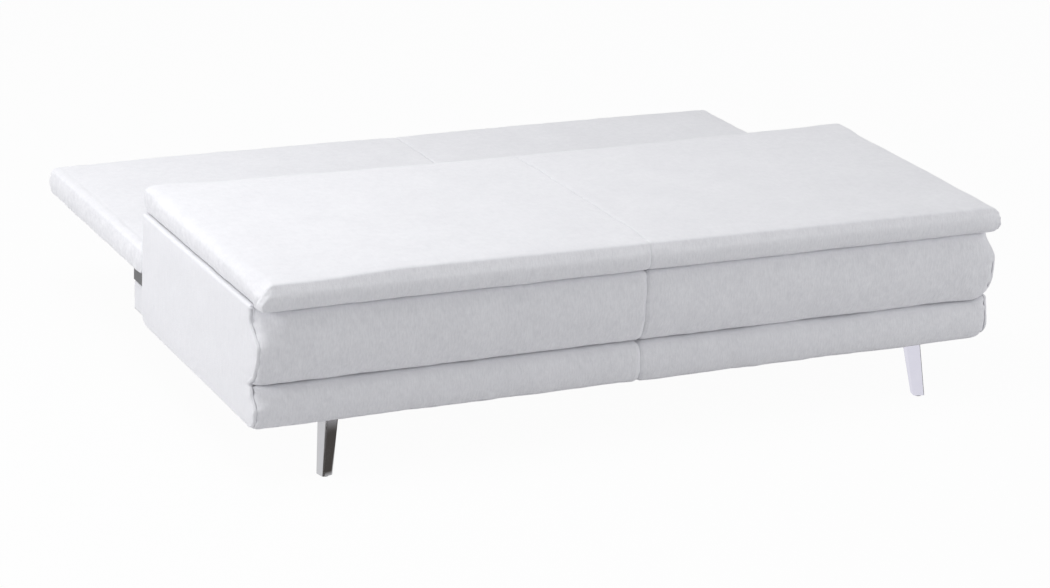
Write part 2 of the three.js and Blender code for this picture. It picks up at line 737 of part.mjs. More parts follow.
function ratchetBracket() {
  const foot = plinthTop + clearance;
  const front = pivotY - bracketHeadRadius;
  const toe = foot + bracketToeRise;
  const outline = [
    [front - bracketToe, foot], [plinthRear, foot], [plinthRear, pivotZ - bracketHeadRadius],
    ...roundArc(pivot, bracketHeadRadius, bracketShoulder, Math.PI, 10),
    [front, toe + bracketStepRise], [front - bracketToe, toe],
  ];
  const plate = plateAlongX(outline, [bracketInnerX, plinthEnd]);
  const flange = block([plinthEnd - flangeWidth, plinthEnd], [front, plinthRear], [foot, foot + flangeThickness]);
  const stopTop = armBarBottom - clearance;
  const stop = block([armInnerX, plinthEnd], [plinthRear - stopWidth, plinthRear], [stopTop - stopHeight, stopTop]);
  const pin = rodAlongX(pawlPinRadius, [armInnerX, plinthEnd], pawlPin);
  const bore = rodAlongX(boltRadius + clearance, [bracketInnerX - overrun, plinthEnd + overrun], pivot, 24);
  return cut(join(plate, flange, stop, pin), bore);
}

function pivotBolt() {
  const nutOuter = armInnerX - clearance;
  const headInner = plinthEnd + clearance;
  const nut = rodAlongX(boltHeadRadius, [nutOuter - boltNutHeight, nutOuter], pivot, 6);
  const head = rodAlongX(boltHeadRadius, [headInner, headInner + boltHeadHeight], pivot, 6);
  const shank = rodAlongX(boltRadius, [nutOuter - boltNutHeight, headInner + boltHeadHeight], pivot, 24);
  return join(nut, shank, head);
}

function addClickClackFittings() {
  addPair('ratchet_bracket', ratchetBracket(), fittingSteel);
  addPair('ratchet_arm', ratchetArm(), fittingSteel);
  addPair('pawl', ratchetPawl(), fittingSteel);
  addPair('pivot_bolt', pivotBolt(), springSteel);
}

addBox();
addCovers();
addLegs();
addPiece('seat_pad', seatPad(), upholstery);
addSeatFrame();
addSprings();
addSeatHinges();
addPiece('back_pad', backPad(), upholstery);
addBackFrame();
addClickClackFittings();

export default sofaBed;
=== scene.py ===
"""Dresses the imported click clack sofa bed: short pile fabric over foam, polished legs, timber, board and steel."""

import json
import math

import bmesh
import bpy
import numpy as np
from mathutils import Matrix, Vector
from mathutils.bvhtree import BVHTree


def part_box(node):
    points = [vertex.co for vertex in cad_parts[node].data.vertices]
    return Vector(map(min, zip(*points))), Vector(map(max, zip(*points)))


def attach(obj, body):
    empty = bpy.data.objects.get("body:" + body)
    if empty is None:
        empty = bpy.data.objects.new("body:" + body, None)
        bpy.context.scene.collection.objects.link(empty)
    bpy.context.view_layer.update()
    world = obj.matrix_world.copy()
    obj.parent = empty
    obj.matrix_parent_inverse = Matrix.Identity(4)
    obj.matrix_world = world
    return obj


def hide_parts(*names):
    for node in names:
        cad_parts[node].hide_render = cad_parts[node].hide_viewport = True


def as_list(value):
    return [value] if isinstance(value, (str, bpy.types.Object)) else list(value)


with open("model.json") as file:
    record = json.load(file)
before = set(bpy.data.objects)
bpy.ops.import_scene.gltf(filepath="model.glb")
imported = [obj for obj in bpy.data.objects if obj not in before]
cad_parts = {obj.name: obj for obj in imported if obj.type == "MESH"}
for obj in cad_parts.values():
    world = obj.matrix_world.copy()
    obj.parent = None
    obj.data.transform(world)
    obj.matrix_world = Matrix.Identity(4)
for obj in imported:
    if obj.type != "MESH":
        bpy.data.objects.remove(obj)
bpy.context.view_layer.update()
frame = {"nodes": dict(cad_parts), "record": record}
nodes = frame["nodes"]
bpy.ops.object.select_all(action="DESELECT")

# Sizes in millimetres. X is from the middle of the bed, Y from the nose of the seat pad, Z from the floor.
HALF = 975  # half the length of the pads
SEAT_BOTTOM, LIP_BOTTOM, NOSE_HEIGHT, SEAT_REAR = 423, 414, 440, 760
FACE_TOP = (3.5, 463)  # the front of the seat pad leans back from its brow to here
BROW_BEFORE, BROW_BEHIND = 5, 9  # where the round of the brow starts before its edge, and ends behind it
TAIL_ROUND, HEEL_ROUND = 12, 8  # radii of the rear edges of the seat pad
BROW_PLACES = ((-975, -831, -636, -130, 407, 773, 975), (12, 12, 15, 14, 13, 12, 12))
BROW_HEIGHTS = (BROW_PLACES[0], (484.5, 484, 491, 487.5, 485.5, 484, 483.5))
TAIL_HEIGHTS = (BROW_PLACES[0], (487, 487, 487, 484, 484.5, 486, 486))
ROLL_BACK, ROLL_HALF, ROLL_STEPS = 65.7, 970.7, 30  # the board the rolls lie on; their half length
UPPER_ROLL = {"top": 415, "bottom": 232, "bulge": 330, "nose": 7.5, "root": 64.5, "powers": (3.0, 1.5)}
LOWER_ROLL = {"top": 231, "bottom": 130, "bulge": 178, "nose": 18.5, "root": 57, "powers": (1.5, 1.8)}
ROLL_SEAM = 231.5  # between the rolls
SIDE_OUTER, SIDE_INNER, FOAM_INNER, SIDE_TOP, SIDE_ROUND = 979, 971.2, 956.6, 420, 5.5
BOX_BOTTOM, BOX_REAR, BOX_CORNER = 139, 772, 36
BACK_TOP, BACK_BOTTOM, BACK_NEAR, BACK_FAR = 325, 255, 777, 1492
BACK_ROUND, BACK_FAR_ROUND, BORDER = 26, 20, 27  # radii of the back pad; its end seams are this far in
STITCH_LENGTH, STITCH_RADIUS, STITCH_PITCH, STITCH_ASIDE = 6.6, 1.05, 9.5, 5.0
FRONT_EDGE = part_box("seat_pad")[0].y

# Rooms that the pads leave for what they lie on: the frames, and the brackets and arms of the fittings.
SEAT_ROOMS = [((-938.3, 938.3), (91.7, 748), (400, 444.4))]
BACK_ROOMS = [((-950, 950), (799.7, 1470.3), (240, 292.9)),
              ((-963.1, -949.7), (770, 886), (240, 313)), ((949.7, 963.1), (770, 886), (240, 313)),
              ((-953.8, -949.7), (835, 1005.3), (240, 285.3)), ((949.7, 953.8), (835, 1005.3), (240, 285.3))]


def metres(points):
    placed = np.array(points, float) * 0.001
    placed[..., 1] += FRONT_EDGE
    return placed


def add_object(name, data):
    made = bpy.data.objects.new(name, data)
    bpy.context.scene.collection.objects.link(made)
    return made


# ---------------- camera

YAW, PITCH, ROLL = (math.radians(angle) for angle in (26.77, 19.08, 2.886))
CAMERA_PLACE, CAMERA_LENS, CAMERA_SENSOR = (-3.5432, -7.1228, 2.8693), 112.83, 36


def add_camera():
    """The camera that was fitted to the photograph."""
    camera = add_object("camera", bpy.data.cameras.new("camera"))
    camera.matrix_world = (Matrix.Translation(CAMERA_PLACE) @ Matrix.Rotation(-YAW, 4, "Z")
                           @ Matrix.Rotation(math.pi / 2 - PITCH, 4, "X") @ Matrix.Rotation(ROLL, 4, "Z"))
    camera.data.lens, camera.data.sensor_width = CAMERA_LENS, CAMERA_SENSOR
    bpy.context.scene.camera = camera


# ---------------- nodes

def wire(tree, source, target):
    tree.links.new(source, target)


def feed(tree, node, values):
    """Sets inputs of a node, given by name or number, to values or sources."""
    for name, value in values.items():
        if isinstance(value, bpy.types.NodeSocket):
            wire(tree, value, node.inputs[name])
        else:
            node.inputs[name].default_value = value


def put(tree, kind, values, **settings):
    """A new node with its settings and inputs."""
    node = tree.nodes.new("ShaderNode" + kind)
    for name, value in settings.items():
        setattr(node, name, value)
    feed(tree, node, values)
    return node


def calc(tree, operation, a, b=0.0):
    return put(tree, "Math", {0: a, 1: b}, operation=operation).outputs[0]


def weighted(tree, *shares):
    """The sum of values, each times its weight."""
    parts = [calc(tree, "MULTIPLY", value, weight) for value, weight in shares]
    total = parts[0]
    for part in parts[1:]:
        total = calc(tree, "ADD", total, part)
    return total


def mixed(tree, share, a, b):
    """The colour a share of the way from a to b, each three numbers or a source."""
    a, b = (c if isinstance(c, bpy.types.NodeSocket) else (*c, 1) for c in (a, b))
    return put(tree, "Mix", {"Factor": share, 6: a, 7: b}, data_type="RGBA").outputs[2]


def noise(tree, place, scale, detail, roughness=0.5):
    values = {"Vector": place, "Scale": scale, "Detail": detail, "Roughness": roughness}
    return put(tree, "TexNoise", values).outputs["Fac"]


def graded(tree, value, start, stop, low=0.0, high=1.0):
    """What goes from low to high while the value goes from start to stop."""
    values = {"Value": value, "From Min": start, "From Max": stop, "To Min": low, "To Max": high}
    return put(tree, "MapRange", values).outputs["Result"]


def new_group(name, takes, gives):
    """An empty group with the kinds of its inputs and outputs by name."""
    tree = bpy.data.node_groups.new(name, "ShaderNodeTree")
    for way, sockets in (("INPUT", takes), ("OUTPUT", gives)):
        for label, kind in sockets.items():
            tree.interface.new_socket(label, in_out=way, socket_type="NodeSocket" + kind)
    return tree, tree.nodes.new("NodeGroupInput").outputs, tree.nodes.new("NodeGroupOutput").inputs


# ---------------- materials

def make_nap_group():
    """Short pile: blotches where it is brushed either way, fine streaks along the nap, and tufts."""
    tree, takes, gives = new_group(
        "nap", {"Place": "Vector", "Along nap": "Vector", "Pale": "Color", "Deep": "Color", "Blotches": "Float",
                "Streaks": "Float"}, {"Colour": "Color", "Height": "Float", "Roughness": "Float"})
    broad = noise(tree, takes["Place"], 9, 3, 0.6)
    blotch = noise(tree, takes["Place"], 55, 3, 0.65)
    streak = noise(tree, takes["Along nap"], 1, 3, 0.6)
    tuft = noise(tree, takes["Place"], 620, 2, 0.6)

    def swing(value, strength):
        return calc(tree, "MULTIPLY", calc(tree, "SUBTRACT", value, 0.5), strength)

    patches = swing(weighted(tree, (broad, 0.45), (blotch, 0.55)), takes["Blotches"])
    shade = calc(tree, "ADD", calc(tree, "ADD", patches, swing(streak, takes["Streaks"])), swing(tuft, 0.5))
    share = put(tree, "Math", {0: shade, 1: 0.5}, operation="ADD", use_clamp=True).outputs[0]
    wire(tree, mixed(tree, share, takes["Deep"], takes["Pale"]), gives["Colour"])
    wire(tree, weighted(tree, (tuft, 0.7), (streak, 0.8), (blotch, 0.9)), gives["Height"])
    wire(tree, calc(tree, "SUBTRACT", 1.0, calc(tree, "MULTIPLY", share, 0.15)), gives["Roughness"])
    return tree


def make_grain_group():
    """Planed wood: rings stretched along the grain, swaying a little, and pores."""
    tree, takes, gives = new_group(
        "wood grain", {"Along grain": "Vector", "Early wood": "Color", "Late wood": "Color", "Rings": "Float"},
        {"Colour": "Color", "Height": "Float"})
    along = takes["Along grain"]
    sway = put(tree, "TexNoise", {"Vector": along, "Scale": 9, "Detail": 2}).outputs["Color"]
    swayed = put(tree, "Mix", {"Factor": 0.04, 4: along, 5: sway}, data_type="VECTOR").outputs[1]
    rings = put(tree, "TexWave", {"Vector": swayed, "Scale": takes["Rings"], "Distortion": 3.5,
                                            "Detail": 3, "Detail Scale": 1.2},
                wave_type="RINGS", rings_direction="SPHERICAL").outputs["Fac"]
    pores = noise(tree, along, 160, 3)
    share = weighted(tree, (rings, 0.7), (pores, 0.3))
    wire(tree, mixed(tree, share, takes["Early wood"], takes["Late wood"]), gives["Colour"])
    wire(tree, pores, gives["Height"])
    return tree


def make_wear_group():
    """Handling marks on hard finishes: smudges in tone and gloss, and fine scratches."""
    tree, takes, gives = new_group(
        "handling marks", {"Place": "Vector", "Clean": "Color", "Marked": "Color", "Smooth": "Float",
                           "Rough": "Float", "Size": "Float"},
        {"Colour": "Color", "Roughness": "Float", "Height": "Float"})
    smudge = noise(tree, takes["Place"], takes["Size"], 4, 0.6)
    wire(tree, mixed(tree, smudge, takes["Clean"], takes["Marked"]), gives["Colour"])
    wire(tree, graded(tree, smudge, 0.3, 0.7, takes["Smooth"], takes["Rough"]), gives["Roughness"])
    wire(tree, noise(tree, takes["Place"], 700, 2), gives["Height"])
    return tree


def start_material(name):
    """A new material, its nodes, and the place of a point on its piece."""
    material = bpy.data.materials.new(name)
    material.use_nodes = True
    tree = material.node_tree
    return material, tree, tree.nodes.new("ShaderNodeTexCoord").outputs["Object"]


def surface(tree, height, strength, depth, values):
    """Raises the surface by a height, which counts for depth metres, and sets its other values."""
    bump = put(tree, "Bump", {"Height": height, "Strength": strength, "Distance": depth})
    feed(tree, tree.nodes["Principled BSDF"], {"Normal": bump.outputs["Normal"], **values})


def pile_fabric(name, nap_scale, pale, deep, blotches=1.0, streaks=1.0):
    """The cover fabric. nap_scale stretches the streaks: few a metre along the nap, many across it. The streaks and
    the relief are weaker on level parts."""
    material, tree, place = start_material(name)
    along = put(tree, "Mapping", {"Vector": place, "Scale": nap_scale}).outputs["Vector"]
    normal = tree.nodes.new("ShaderNodeNewGeometry").outputs["Normal"]
    facing = put(tree, "SeparateXYZ", {"Vector": normal}).outputs["Z"]
    upright = graded(tree, facing, 0.3, 0.9, 1.0, 0.3)
    nap = put(tree, "Group", {
        "Place": place, "Along nap": along, "Pale": (*pale, 1), "Deep": (*deep, 1), "Blotches": blotches,
        "Streaks": calc(tree, "MULTIPLY", upright, streaks)}, node_tree=NAP).outputs
    surface(tree, calc(tree, "MULTIPLY", nap["Height"], upright), 0.45, 0.0012, {
        "Base Color": nap["Colour"], "Roughness": nap["Roughness"], "Diffuse Roughness": 0.35,
        "Specular IOR Level": 0.1, "Sheen Weight": 0.1, "Sheen Roughness": 0.45})
    return material


def planed_timber(name, scale):
    """Softwood whose grain runs along the axis that scale stretches."""
    material, tree, place = start_material(name)
    along = put(tree, "Mapping", {"Vector": place, "Scale": scale, "Location": (0.13, 0.21, 0.4)})
    grain = put(tree, "Group", {
        "Along grain": along.outputs["Vector"], "Early wood": (0.68, 0.52, 0.34, 1),
        "Late wood": (0.5, 0.34, 0.19, 1), "Rings": 6}, node_tree=GRAIN).outputs
    surface(tree, grain["Height"], 0.3, 0.0004, {"Base Color": grain["Colour"], "Roughness": 0.6})
    return material


def chipboard(name):
    """Pressed chips of several tones, with darker glue between them."""
    material, tree, place = start_material(name)
    chips = put(tree, "TexVoronoi", {"Vector": place, "Scale": 190, "Randomness": 1})
    tone = put(tree, "SeparateColor", {"Color": chips.outputs["Color"]}).outputs["Red"]
    share = weighted(tree, (tone, 0.6), (noise(tree, place, 420, 3), 0.4))
    tones = put(tree, "ValToRGB", {"Fac": share})
    stops = tones.color_ramp.elements
    for stop, position, colour in zip([stops[0], stops.new(0.5), stops[-1]], (0.1, 0.45, 0.9),
                                      ((0.3, 0.19, 0.1, 1), (0.52, 0.37, 0.22, 1), (0.7, 0.55, 0.36, 1))):
        stop.position, stop.color = position, colour
    surface(tree, share, 0.4, 0.0006, {"Base Color": tones.outputs["Color"], "Roughness": 0.85})
    return material


def hardboard(name):
    material, tree, place = start_material(name)
    fibre = noise(tree, place, 320, 5, 0.7)
    share = weighted(tree, (fibre, 0.6), (noise(tree, place, 6, 2), 0.4))
    colour = mixed(tree, share, (0.2, 0.11, 0.055), (0.42, 0.26, 0.15))
    surface(tree, fibre, 0.3, 0.0003, {"Base Color": colour, "Roughness": 0.7})
    return material


def hard_finish(name, clean, marked, smooth, rough, metallic, size, relief):
    """Metal or plastic. Its tone goes from clean to marked, its roughness from smooth to rough."""
    material, tree, place = start_material(name)
    marks = put(tree, "Group", {
        "Place": place, "Clean": (*clean, 1), "Marked": (*marked, 1), "Smooth": smooth, "Rough": rough,
        "Size": size}, node_tree=WEAR).outputs
    surface(tree, marks["Height"], relief, 0.0002, {
        "Base Color": marks["Colour"], "Roughness": marks["Roughness"], "Metallic": metallic})
    return material


def woven_lining(name):
    """Thin black lining: a plain weave of two crossed sets of threads."""
    material, tree, place = start_material(name)
    split = put(tree, "SeparateXYZ", {"Vector": place}).outputs
    warp, weft = (calc(tree, "SINE", calc(tree, "MULTIPLY", split[axis], 4200)) for axis in "XY")
    colour = mixed(tree, noise(tree, place, 14, 3), (0.02, 0.02, 0.023), (0.06, 0.06, 0.066))
    surface(tree, calc(tree, "MULTIPLY", warp, weft), 0.3, 0.0004, {"Base Color": colour, "Roughness": 0.9})
    return material


# ---------------- soft forms

PUFF_FRAMES = 12  # how long the filling pushes
FOAM_HOLD = 0.15  # how firmly the foam holds its cover everywhere, from 0 to 1
WAVES = 14  # how many waves make one uneven surface
CLOTH = {"quality": 4, "mass": 0.25, "tension_stiffness": 12, "compression_stiffness": 12, "shear_stiffness": 4,
         "bending_stiffness": 0.6, "vertex_group_mass": "held", "use_pressure": True}


def arc(centre, radius, start, stop, steps):
    angles = np.linspace(start, stop, steps + 1)
    return centre + radius * np.stack([np.cos(angles), np.sin(angles)], 1)


def line(a, b, steps):
    return np.linspace(a, b, steps + 1)


def curve(a, b, c, steps):
    t = np.linspace(0, 1, steps + 1)[:, None]
    a, b, c = (np.array(p, float) for p in (a, b, c))
    return a * (1 - t) ** 2 + 2 * b * t * (1 - t) + c * t ** 2


def run(*parts):
    """Joins stretches of outline that share their end points."""
    return np.concatenate([parts[0], *[part[1:] for part in parts[1:]]])


def at_x(x, points):
    """Places with the given x, from points (y, z)."""
    return np.column_stack([np.full(len(points), x), points])


def inward(outline):
    """Directions into a closed outline that runs clockwise or the other way, one a point."""
    along = np.roll(outline, -1, 0) - np.roll(outline, 1, 0)
    along = along / np.maximum(np.linalg.norm(along, axis=1, keepdims=True), 1e-9)
    area = np.sum(outline[:, 0] * np.roll(outline[:, 1], -1) - np.roll(outline[:, 0], -1) * outline[:, 1])
    turn = np.stack([-along[:, 1], along[:, 0]], 1) * np.sign(area)
    for _ in range(2):
        turn = (np.roll(turn, 1, 0) + 2 * turn + np.roll(turn, -1, 0)) / 4
    return turn / np.maximum(np.linalg.norm(turn, axis=1, keepdims=True), 1e-9)


def eased(share):
    share = np.clip(share, 0, 1)
    return share * share * (3 - 2 * share)


def rounded_in(into, reach, depth, power):
    """How deep a round end has drawn in, when it starts reach before the end and is depth deep there.
    A power of 1 gives a straight slope."""
    share = np.clip(into / np.maximum(reach, 1e-6), 0, 1)
    return depth * (1 - (1 - share ** power) ** (1 / power))


def stations(half, end, step):
    """Places along X, closer together at the middle seam and towards the round ends."""
    near = np.array([0, 1.5, 3, 4.5, 6.5, 9, 12.5, 17, 23, 31])
    far = half - end * np.array([1.0, 0.8, 0.62, 0.46, 0.32, 0.21, 0.12, 0.06, 0.02, 0])
    count = round((far[0] - near[-1]) / step)
    right = np.concatenate([near, np.linspace(near[-1], far[0], count + 1)[1:-1], far])
    return np.concatenate([-right[:0:-1], right])


def closing(ring, swell):
    """Rings that close an end: each point draws in towards the middle between it and its partner across."""
    partner = np.roll(ring[::-1], 1, 0)
    middle = (ring + partner) / 2
    apart = np.linalg.norm(ring - partner, axis=1)
    dome = np.maximum((apart / apart.max()) ** 0.5, 0.3)
    return [middle + (ring - middle) * s + np.outer(dome * (1 - s * s), (swell, 0, 0))
            for s in (0.85, 0.6, 0.3, 0)]


def lofted(rings, swell):
    """Points and faces of a closed skin through rings, with both ends domed shut."""
    rings = [*closing(rings[0], -swell)[::-1], *rings, *closing(rings[-1], swell)]
    count, last = len(rings[0]), len(rings) - 1

    def corner(i, k):
        k %= count
        return i * count + (min(k, count - k) if i in (0, last) else k)

    faces = []
    for i in range(last):
        for k in range(count):
            loop = [corner(i, k), corner(i, k + 1), corner(i + 1, k + 1), corner(i + 1, k)]
            loop = [c for n, c in enumerate(loop) if c != loop[n - 1]]
            faces.append(loop)
    points = metres(np.concatenate(rings))
    if signed_volume(points, faces) < 0:
        faces = [face[::-1] for face in faces]
    return points, faces


def signed_volume(points, faces):
    corners = np.array([(face[0], face[i], face[i + 1]) for face in faces for i in range(1, len(face) - 1)])
    a, b, c = (points[corners[:, k]] for k in range(3))
    return float(np.einsum("ij,ij->i", a, np.cross(b, c)).sum() / 6)


def new_piece(name, points, faces, material, closed=True):
    mesh = bpy.data.meshes.new(name)
    mesh.from_pydata(points.tolist(), [], faces)
    form = bmesh.new()
    form.from_mesh(mesh)
    bmesh.ops.delete(form, geom=[v for v in form.verts if not v.link_faces], context="VERTS")
    bmesh.ops.remove_doubles(form, verts=form.verts, dist=0.00002)
    if closed:
        bmesh.ops.recalc_face_normals(form, faces=form.faces)
    form.to_mesh(mesh)
    form.free()
    mesh.polygons.foreach_set("use_smooth", [True] * len(mesh.polygons))
    mesh.materials.append(material)
    return add_object(name, mesh)


def quads(rows, count, joins=0):
    """Faces between rows of count points each. With joins at 1 the last point of a row is joined to its first."""
    return [(i * count + k, i * count + (k + 1) % count, (i + 1) * count + (k + 1) % count, (i + 1) * count + k)
            for i in range(rows - 1) for k in range(count - 1 + joins)]


def read_points(points, field):
    flat = np.empty(len(points) * 3, np.float32)
    points.foreach_get(field, flat)
    return flat.reshape(-1, 3).astype(float)


def apply_modifiers(piece):
    bpy.ops.object.select_all(action="DESELECT")
    piece.select_set(True)
    bpy.context.view_layer.objects.active = piece
    for modifier in list(piece.modifiers):
        bpy.ops.object.modifier_apply(modifier=modifier.name)
    bpy.ops.object.select_all(action="DESELECT")


def refine(piece):
    smooth = piece.modifiers.new("finer", "SUBSURF")
    smooth.levels = smooth.render_levels = 1
    apply_modifiers(piece)


def swollen(places, faces, held, pressure):
    """The places of a cover after its filling has pushed it out for some frames, held where held is 1."""
    mesh = bpy.data.meshes.new("cover")
    mesh.from_pydata(places.tolist(), [], faces)
    cover = add_object("cover", mesh)
    group = cover.vertex_groups.new(name="held")
    for i, share in enumerate(held):
        if share > 0.01:
            group.add([i], float(share), "REPLACE")
    cloth = cover.modifiers.new("cloth", "CLOTH")
    for setting, value in CLOTH.items():
        setattr(cloth.settings, setting, value)
    cloth.settings.uniform_pressure_force = pressure
    cloth.settings.effector_weights.gravity = 0
    cloth.collision_settings.use_collision = False
    cloth.point_cache.frame_start, cloth.point_cache.frame_end = 1, PUFF_FRAMES
    for step in range(1, PUFF_FRAMES + 1):
        bpy.context.scene.frame_set(step)
    shown = cover.evaluated_get(bpy.context.evaluated_depsgraph_get())
    result = read_points(shown.data.vertices, "co")
    bpy.data.objects.remove(cover)
    bpy.data.meshes.remove(mesh)
    bpy.context.scene.frame_set(1)
    return result


def between(wanted, known, values):
    """Smooth values at the wanted places, from values at evenly spaced known ones."""
    t = (wanted - known[0]) / (known[1] - known[0])
    i = np.clip(np.floor(t).astype(int), 0, len(known) - 2)
    f = np.clip(t - i, 0, 1).reshape(-1, *[1] * (values.ndim - 1))
    p = [values[np.clip(i + k, 0, len(known) - 1)] for k in (-1, 0, 1, 2)]
    return 0.5 * (2 * p[1] + (p[2] - p[0]) * f + (2 * p[0] - 5 * p[1] + 4 * p[2] - p[3]) * f ** 2
                  + (3 * p[1] - p[0] - 3 * p[2] + p[3]) * f ** 3)


def puffed_rings(ring_at, xs, step, held_at, pressure, cap):
    """Rings of a padded form at xs, moved as a simulated cover of the same form moves, by up to cap. The cover has
    rings every step."""
    base = np.array([ring_at(x) for x in xs])
    half = xs[-1]
    even = np.linspace(-half, half, round(2 * half / step) + 1)
    coarse = np.array([ring_at(x) for x in even])
    held = np.array([np.maximum(held_at(x, ring), FOAM_HOLD) for x, ring in zip(even, coarse)])
    closed = len(closing(coarse[0], 0))
    points, faces = lofted(coarse, 1)
    ends = np.full(closed * coarse.shape[1], 0.5)
    moved = swollen(points, faces, np.concatenate([ends, held.ravel(), ends]), pressure) - points
    moved = moved.reshape(-1, coarse.shape[1], 3)[closed:-closed] * 1000
    size = np.linalg.norm(moved, axis=2, keepdims=True)
    moved *= cap * np.tanh(size / cap) / np.maximum(size, 1e-9)
    moved *= np.clip((1 - held[..., None]) / (1 - FOAM_HOLD), 0, 1)
    return base + between(xs, even, moved)


def ripple(a, b, seed, low, high):
    """Soft uneven waves over two directions, between low and high millimetres long, always the same for a seed."""
    dice = np.random.default_rng(seed)
    total = np.zeros(np.broadcast(a, b).shape)
    for _ in range(WAVES):
        heading, length, start = dice.uniform(0, math.pi), dice.uniform(low, high), dice.uniform(0, 2 * math.pi)
        along = a * math.cos(heading) + b * math.sin(heading)
        total = total + np.sin(along * 2 * math.pi / length + start)
    return total / math.sqrt(WAVES)


def press(piece, depth_at):
    """Moves each point of a piece in along its normal by depth_at(points), in millimetres."""
    places = read_points(piece.data.vertices, "co")
    directions = read_points(piece.data.vertex_normals, "vector")
    depths = depth_at((places - (0, FRONT_EDGE, 0)) * 1000)
    places -= directions * depths[:, None] * 0.001
    piece.data.vertices.foreach_set("co", places.astype(np.float32).ravel())
    piece.data.update()


def cushion(name, ring_at, held_at, depth_at, half, end, steps, pressure, cap, swell):
    """A padded piece: rings every steps[0], moved as its cover moves, whose rings come every steps[1]. Then seams
    and folds are pressed in."""
    rings = puffed_rings(ring_at, stations(half, end, steps[0]), steps[1], held_at, pressure, cap)
    piece = new_piece(name, *lofted(rings, swell), FABRIC)
    refine(piece)
    press(piece, depth_at)
    return piece


def seam_line(away, depth, width):
    return depth * np.exp(-(away / width) ** 2)


def middle_seam(x):
    return seam_line(x, 1.3, 4) + seam_line(x, 0.8, 1.2)


def seam_folds(x, along, seed):
    """Small folds that run out from the middle seam of a pad."""
    return 0.8 * np.exp(-np.abs(x) / 26) * ripple(x * 0.25, along, seed, 22, 70)


# Seat pad

def slack_at(x):
    """1 at the seam and at the ends, 0 halfway, where the cushions are fullest."""
    return 1 - math.sin(math.pi * abs(x) / HALF)


def inner_share(x):
    """0 at the ends of the bed, 1 from 110 mm inside them."""
    return float(eased((HALF - abs(x)) / 110))


def seat_ring(x):
    """Outline of the seat pad at x: up its front face and over the brow to the rear, then under it and round
    the curled lip."""
    out = abs(x) / HALF
    top, last = np.interp(x, *BROW_HEIGHTS), np.interp(x, *TAIL_HEIGHTS)
    edge, face = np.array([np.interp(x, *BROW_PLACES), top]), np.array(FACE_TOP, float)
    rise = (edge - face) / np.linalg.norm(edge - face)
    below = (0, face[1] - face[0] * rise[1] / rise[0])
    rear = SEAT_REAR - 5 + 16 * out ** 3
    tail, heel = rear - TAIL_ROUND, rear - 14
    crown_y = np.linspace(edge[0] + BROW_BEHIND, tail, 45)
    share = (crown_y - crown_y[0]) / (tail - crown_y[0])
    puffed = 4 * math.exp(-((x + 930) / 90) ** 2) * np.exp(-((crown_y - 735) / 110) ** 2)
    crown_z = top + (last - top) * eased(share) + 2 * np.sin(math.pi * share) + puffed
    shoulder = crown_z[-1] - TAIL_ROUND
    outline = run(
        curve((0, NOSE_HEIGHT), below, face, 6),
        line(face, edge - BROW_BEFORE * rise, 6),
        curve(edge - BROW_BEFORE * rise, edge, (edge[0] + BROW_BEHIND, top), 6),
        np.stack([crown_y, crown_z], 1),
        arc((tail, shoulder), TAIL_ROUND, math.pi / 2, 0, 7),
        line((rear, shoulder), (rear - 6, SEAT_BOTTOM + HEEL_ROUND), 3),
        arc((heel, SEAT_BOTTOM + HEEL_ROUND), HEEL_ROUND, 0, -math.pi / 2, 4),
        line((heel, SEAT_BOTTOM), (ROLL_BACK + 0.5, SEAT_BOTTOM), 44),
        line((ROLL_BACK + 0.5, SEAT_BOTTOM), (ROLL_BACK, LIP_BOTTOM), 3),
        line((ROLL_BACK, LIP_BOTTOM), (27, LIP_BOTTOM + 2), 6),
        curve((27, LIP_BOTTOM + 2), (2, LIP_BOTTOM + 3), (0, NOSE_HEIGHT), 11),
    )[:-1]

    # The ends slope down over reach millimetres by depth, less towards the rear. The left front corner is crisper.
    y, z = outline.T
    over, tight = eased((z - 425) / 57), eased((y - 630) / 110)
    corner, straight, crisp = (33, 1.15, 9) if x < 0 else (22, 1.9, 0)
    reach = 6 + (30 - 8 * tight - crisp * np.exp(-(np.maximum(0, y) / 45) ** 2)) * over
    depth = (corner + (25 - corner) * eased((y - 60) / 120) - 11 * tight) * over
    drawn = draw_ends(outline, x, HALF, reach, np.where(over > 0, 0.0, 3.0))
    into = np.maximum(0, reach - (HALF - abs(x)))
    drawn[:, 2] -= rounded_in(into, reach, depth, straight + (2 - straight) * eased((y - 30) / 130))
    tucked = 6 * eased((462 - z) / 46) * (1 - inner_share(x)) ** 3
    drawn[:, 0] -= math.copysign(1, x) * tucked
    return drawn


def draw_ends(outline, x, half, reach, depth, power=2.2):
    """Points at x of a form that is half long each way, its outline drawn in towards the round ends."""
    into = np.maximum(0, reach - (half - abs(x)))
    moved = outline + inward(outline) * rounded_in(into, reach, depth, power)[:, None]
    return at_x(x, moved)


def seat_held(x, ring):
    y, z = ring[:, 1], ring[:, 2]
    under = (z < SEAT_BOTTOM + 3) & (y > 40)
    held = np.maximum(np.where(under, 1.0, 0.0), math.exp(-(x / 9) ** 2))
    return np.maximum(held, 0.6 * math.exp(-((HALF - abs(x)) / 14) ** 2) * (y < 60))


def seat_depth(p):
    x, y, z = p.T
    showing = np.where((z < SEAT_BOTTOM + 1) & (y > 60), 0.0, 1.0)
    folds = seam_folds(x, y + z, 3)
    front = np.exp(-(np.maximum(0, y - 30) / 22) ** 2)
    away = HALF - np.abs(x)
    welt = seam_line(away - 8, 0.9, 1.6) * front
    drawn = 0.9 * np.exp(-away / 28) * front * ripple(x * 0.3, y + z, 5, 14, 40)
    broad = 0.7 * ripple(x, y * 1.4 + z, 8, 130, 420) + 0.25 * ripple(x, y * 1.5 + z, 9, 45, 110)
    return (middle_seam(x) + folds + welt + drawn + broad) * showing


# Front rolls

